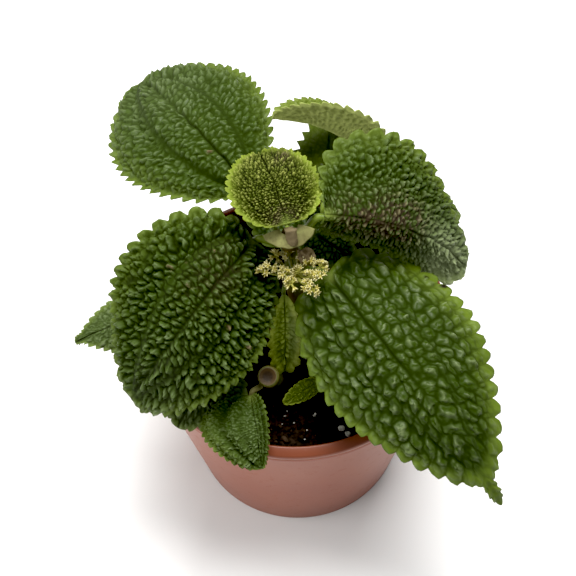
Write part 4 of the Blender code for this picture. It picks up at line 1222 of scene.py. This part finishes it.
def floret(centre, out, turn, size):
    """A star: at angle a and share s of the way out, radius = size * s * (0.22 + 0.78 |cos(2.5a)|^3). Its
    rings rise from the heart to the tips and run back under them to a narrow foot."""
    across = unit(np.cross(out, (0.2, 0.5, 0.84)))
    up = np.cross(out, across)
    angle = full_turn(20)
    lobe = 0.22 + 0.78 * np.abs(np.cos(LOBES / 2 * (angle - turn))) ** 3
    shares = np.array([0.15, 0.55, 0.9, 1.0, 0.85, 0.35])
    rise = np.array([0.05, 0.2, 0.5, 0.45, 0.15, -0.55])
    radius = size * shares[:, None] * lobe
    spokes = np.cos(angle)[:, None] * across + np.sin(angle)[:, None] * up
    rings = centre + radius[..., None] * spokes + (size * rise[:, None] * (0.4 + 0.6 * lobe))[..., None] * out
    points, faces = capped(rings)
    tips = np.array([0.0, 0.35, 1.0, 1.0, 0.6, 0.0])[:, None] * (lobe > 0.6)
    return points, faces, {"tip": np.append(tips, [0.0, 0.0])}


def flower_cluster():
    """Stalk, a bent twig to each head, and florets on short stalks, spread round it by the golden angle."""
    rng = np.random.default_rng(7)
    axis = spline(STALK, 12)
    shapes = [(*tube(axis, np.linspace(0.9, 0.7, 12), 12), {"green": 1.0})]
    for x, y in HEADS:
        head = np.array((x, y - 1.0, HEAD_HEIGHT + rng.uniform(0.9, 2.3)))
        root = axis[-1] - (0, 0, 0.2)
        middle = (root + head) / 2 - (0, 0, 1.0)
        twig = tube(spline([root, middle, head], 10), np.linspace(0.5, 0.35, 10), 8)
        shapes.append((*twig, {"green": 0.7}))
        for number in range(FLORETS):
            up = 1 - 1.25 * (number + 0.5) / FLORETS
            out = polar(math.sqrt(1 - up**2), number * GOLDEN_ANGLE + rng.uniform(0, 6.28), up)
            centre = head + out * rng.uniform(1.5, 2.1)
            shapes.append((*tube([head, head + out * 0.8, centre], [0.4, 0.35, 0.3], 6), {"green": 0.5}))
            shapes.append(floret(centre, unit(out), rng.uniform(0, 1.3), rng.uniform(1.05, 1.35)))
    return joined(shapes)


new_piece("flower_heads", flower_cluster(), petal_wax(), "flower", "flower_cluster")

# %% [markdown]
# ## Studio and camera
#
# A plain pale floor, a white sky for the soft fill, a soft box above, and a wide one
# at the left that puts the gleam on the pot's left side. The camera stands above and
# before the pot, about 48 cm from its foot, and looks down at some 57 degrees through a
# 75 mm lens. Three directions, its own right, up and backward axes, turn it.

# %% Floor, sky and lights
FLOOR_REACH = 3000.0


def studio_floor():
    """Matt pale paper, which gives the eye nothing but the plant's soft shadow."""
    material, _ = new_material("pale_paper")
    finished(material, Base_Color=linear("#f4f4f2"), Roughness=0.9)
    corners = FLOOR_REACH * np.array([(-1, -1, 0), (1, -1, 0), (1, 1, 0), (-1, 1, 0)])
    floor = placed("floor", mesh_from("floor", corners, [np.array([(0, 1, 2, 3)])]))
    floor.data.materials.append(material)


def soft_box(name, place, aim, size, power):
    """A square area light at the place in metres, turned to look at the aim."""
    data = bpy.data.lights.new(name, "AREA")
    data.shape, data.size, data.energy = "SQUARE", size, power
    light = placed(name, data)
    light.location = place
    light.rotation_euler = (Vector(aim) - Vector(place)).to_track_quat("-Z", "Y").to_euler()


studio_floor()
soft_box("top_box", (0.05, 0.15, 0.95), (0, 0, 0.1), 0.5, 14.0)
soft_box("window", (-0.85, -0.25, 0.5), (0, 0, 0.1), 0.8, 6.0)
sky = bpy.data.worlds.new("white_sky")
sky.use_nodes = True
fill(sky.node_tree.nodes["Background"], Color=linear("#f6f8fa"), Strength=0.42)
bpy.context.scene.world = sky
view = bpy.context.scene.view_settings
view.view_transform = "Standard"
view.use_curve_mapping = True
view.curve_mapping.black_level = (0.01, 0.01, 0.01)
view.curve_mapping.update()

# %% Camera
EYE = (-1.91, -213.88, 433.21)
EYE_RIGHT = (0.99924, -0.03275, -0.02110)
EYE_UP = (0.03896, 0.84003, 0.54114)
EYE_BACK = (0.0, -0.54155, 0.84067)

lens = bpy.data.cameras.new("camera")
lens.lens, lens.sensor_width, lens.clip_end = 75.0, 36.0, 10.0
camera = placed("camera", lens)
turned = Matrix((EYE_RIGHT, EYE_UP, EYE_BACK)).transposed().to_4x4()
camera.matrix_world = Matrix.Translation(Vector(EYE) * MM) @ turned
bpy.context.scene.camera = camera
print("camera", round(Vector(EYE).length), "mm from the origin")
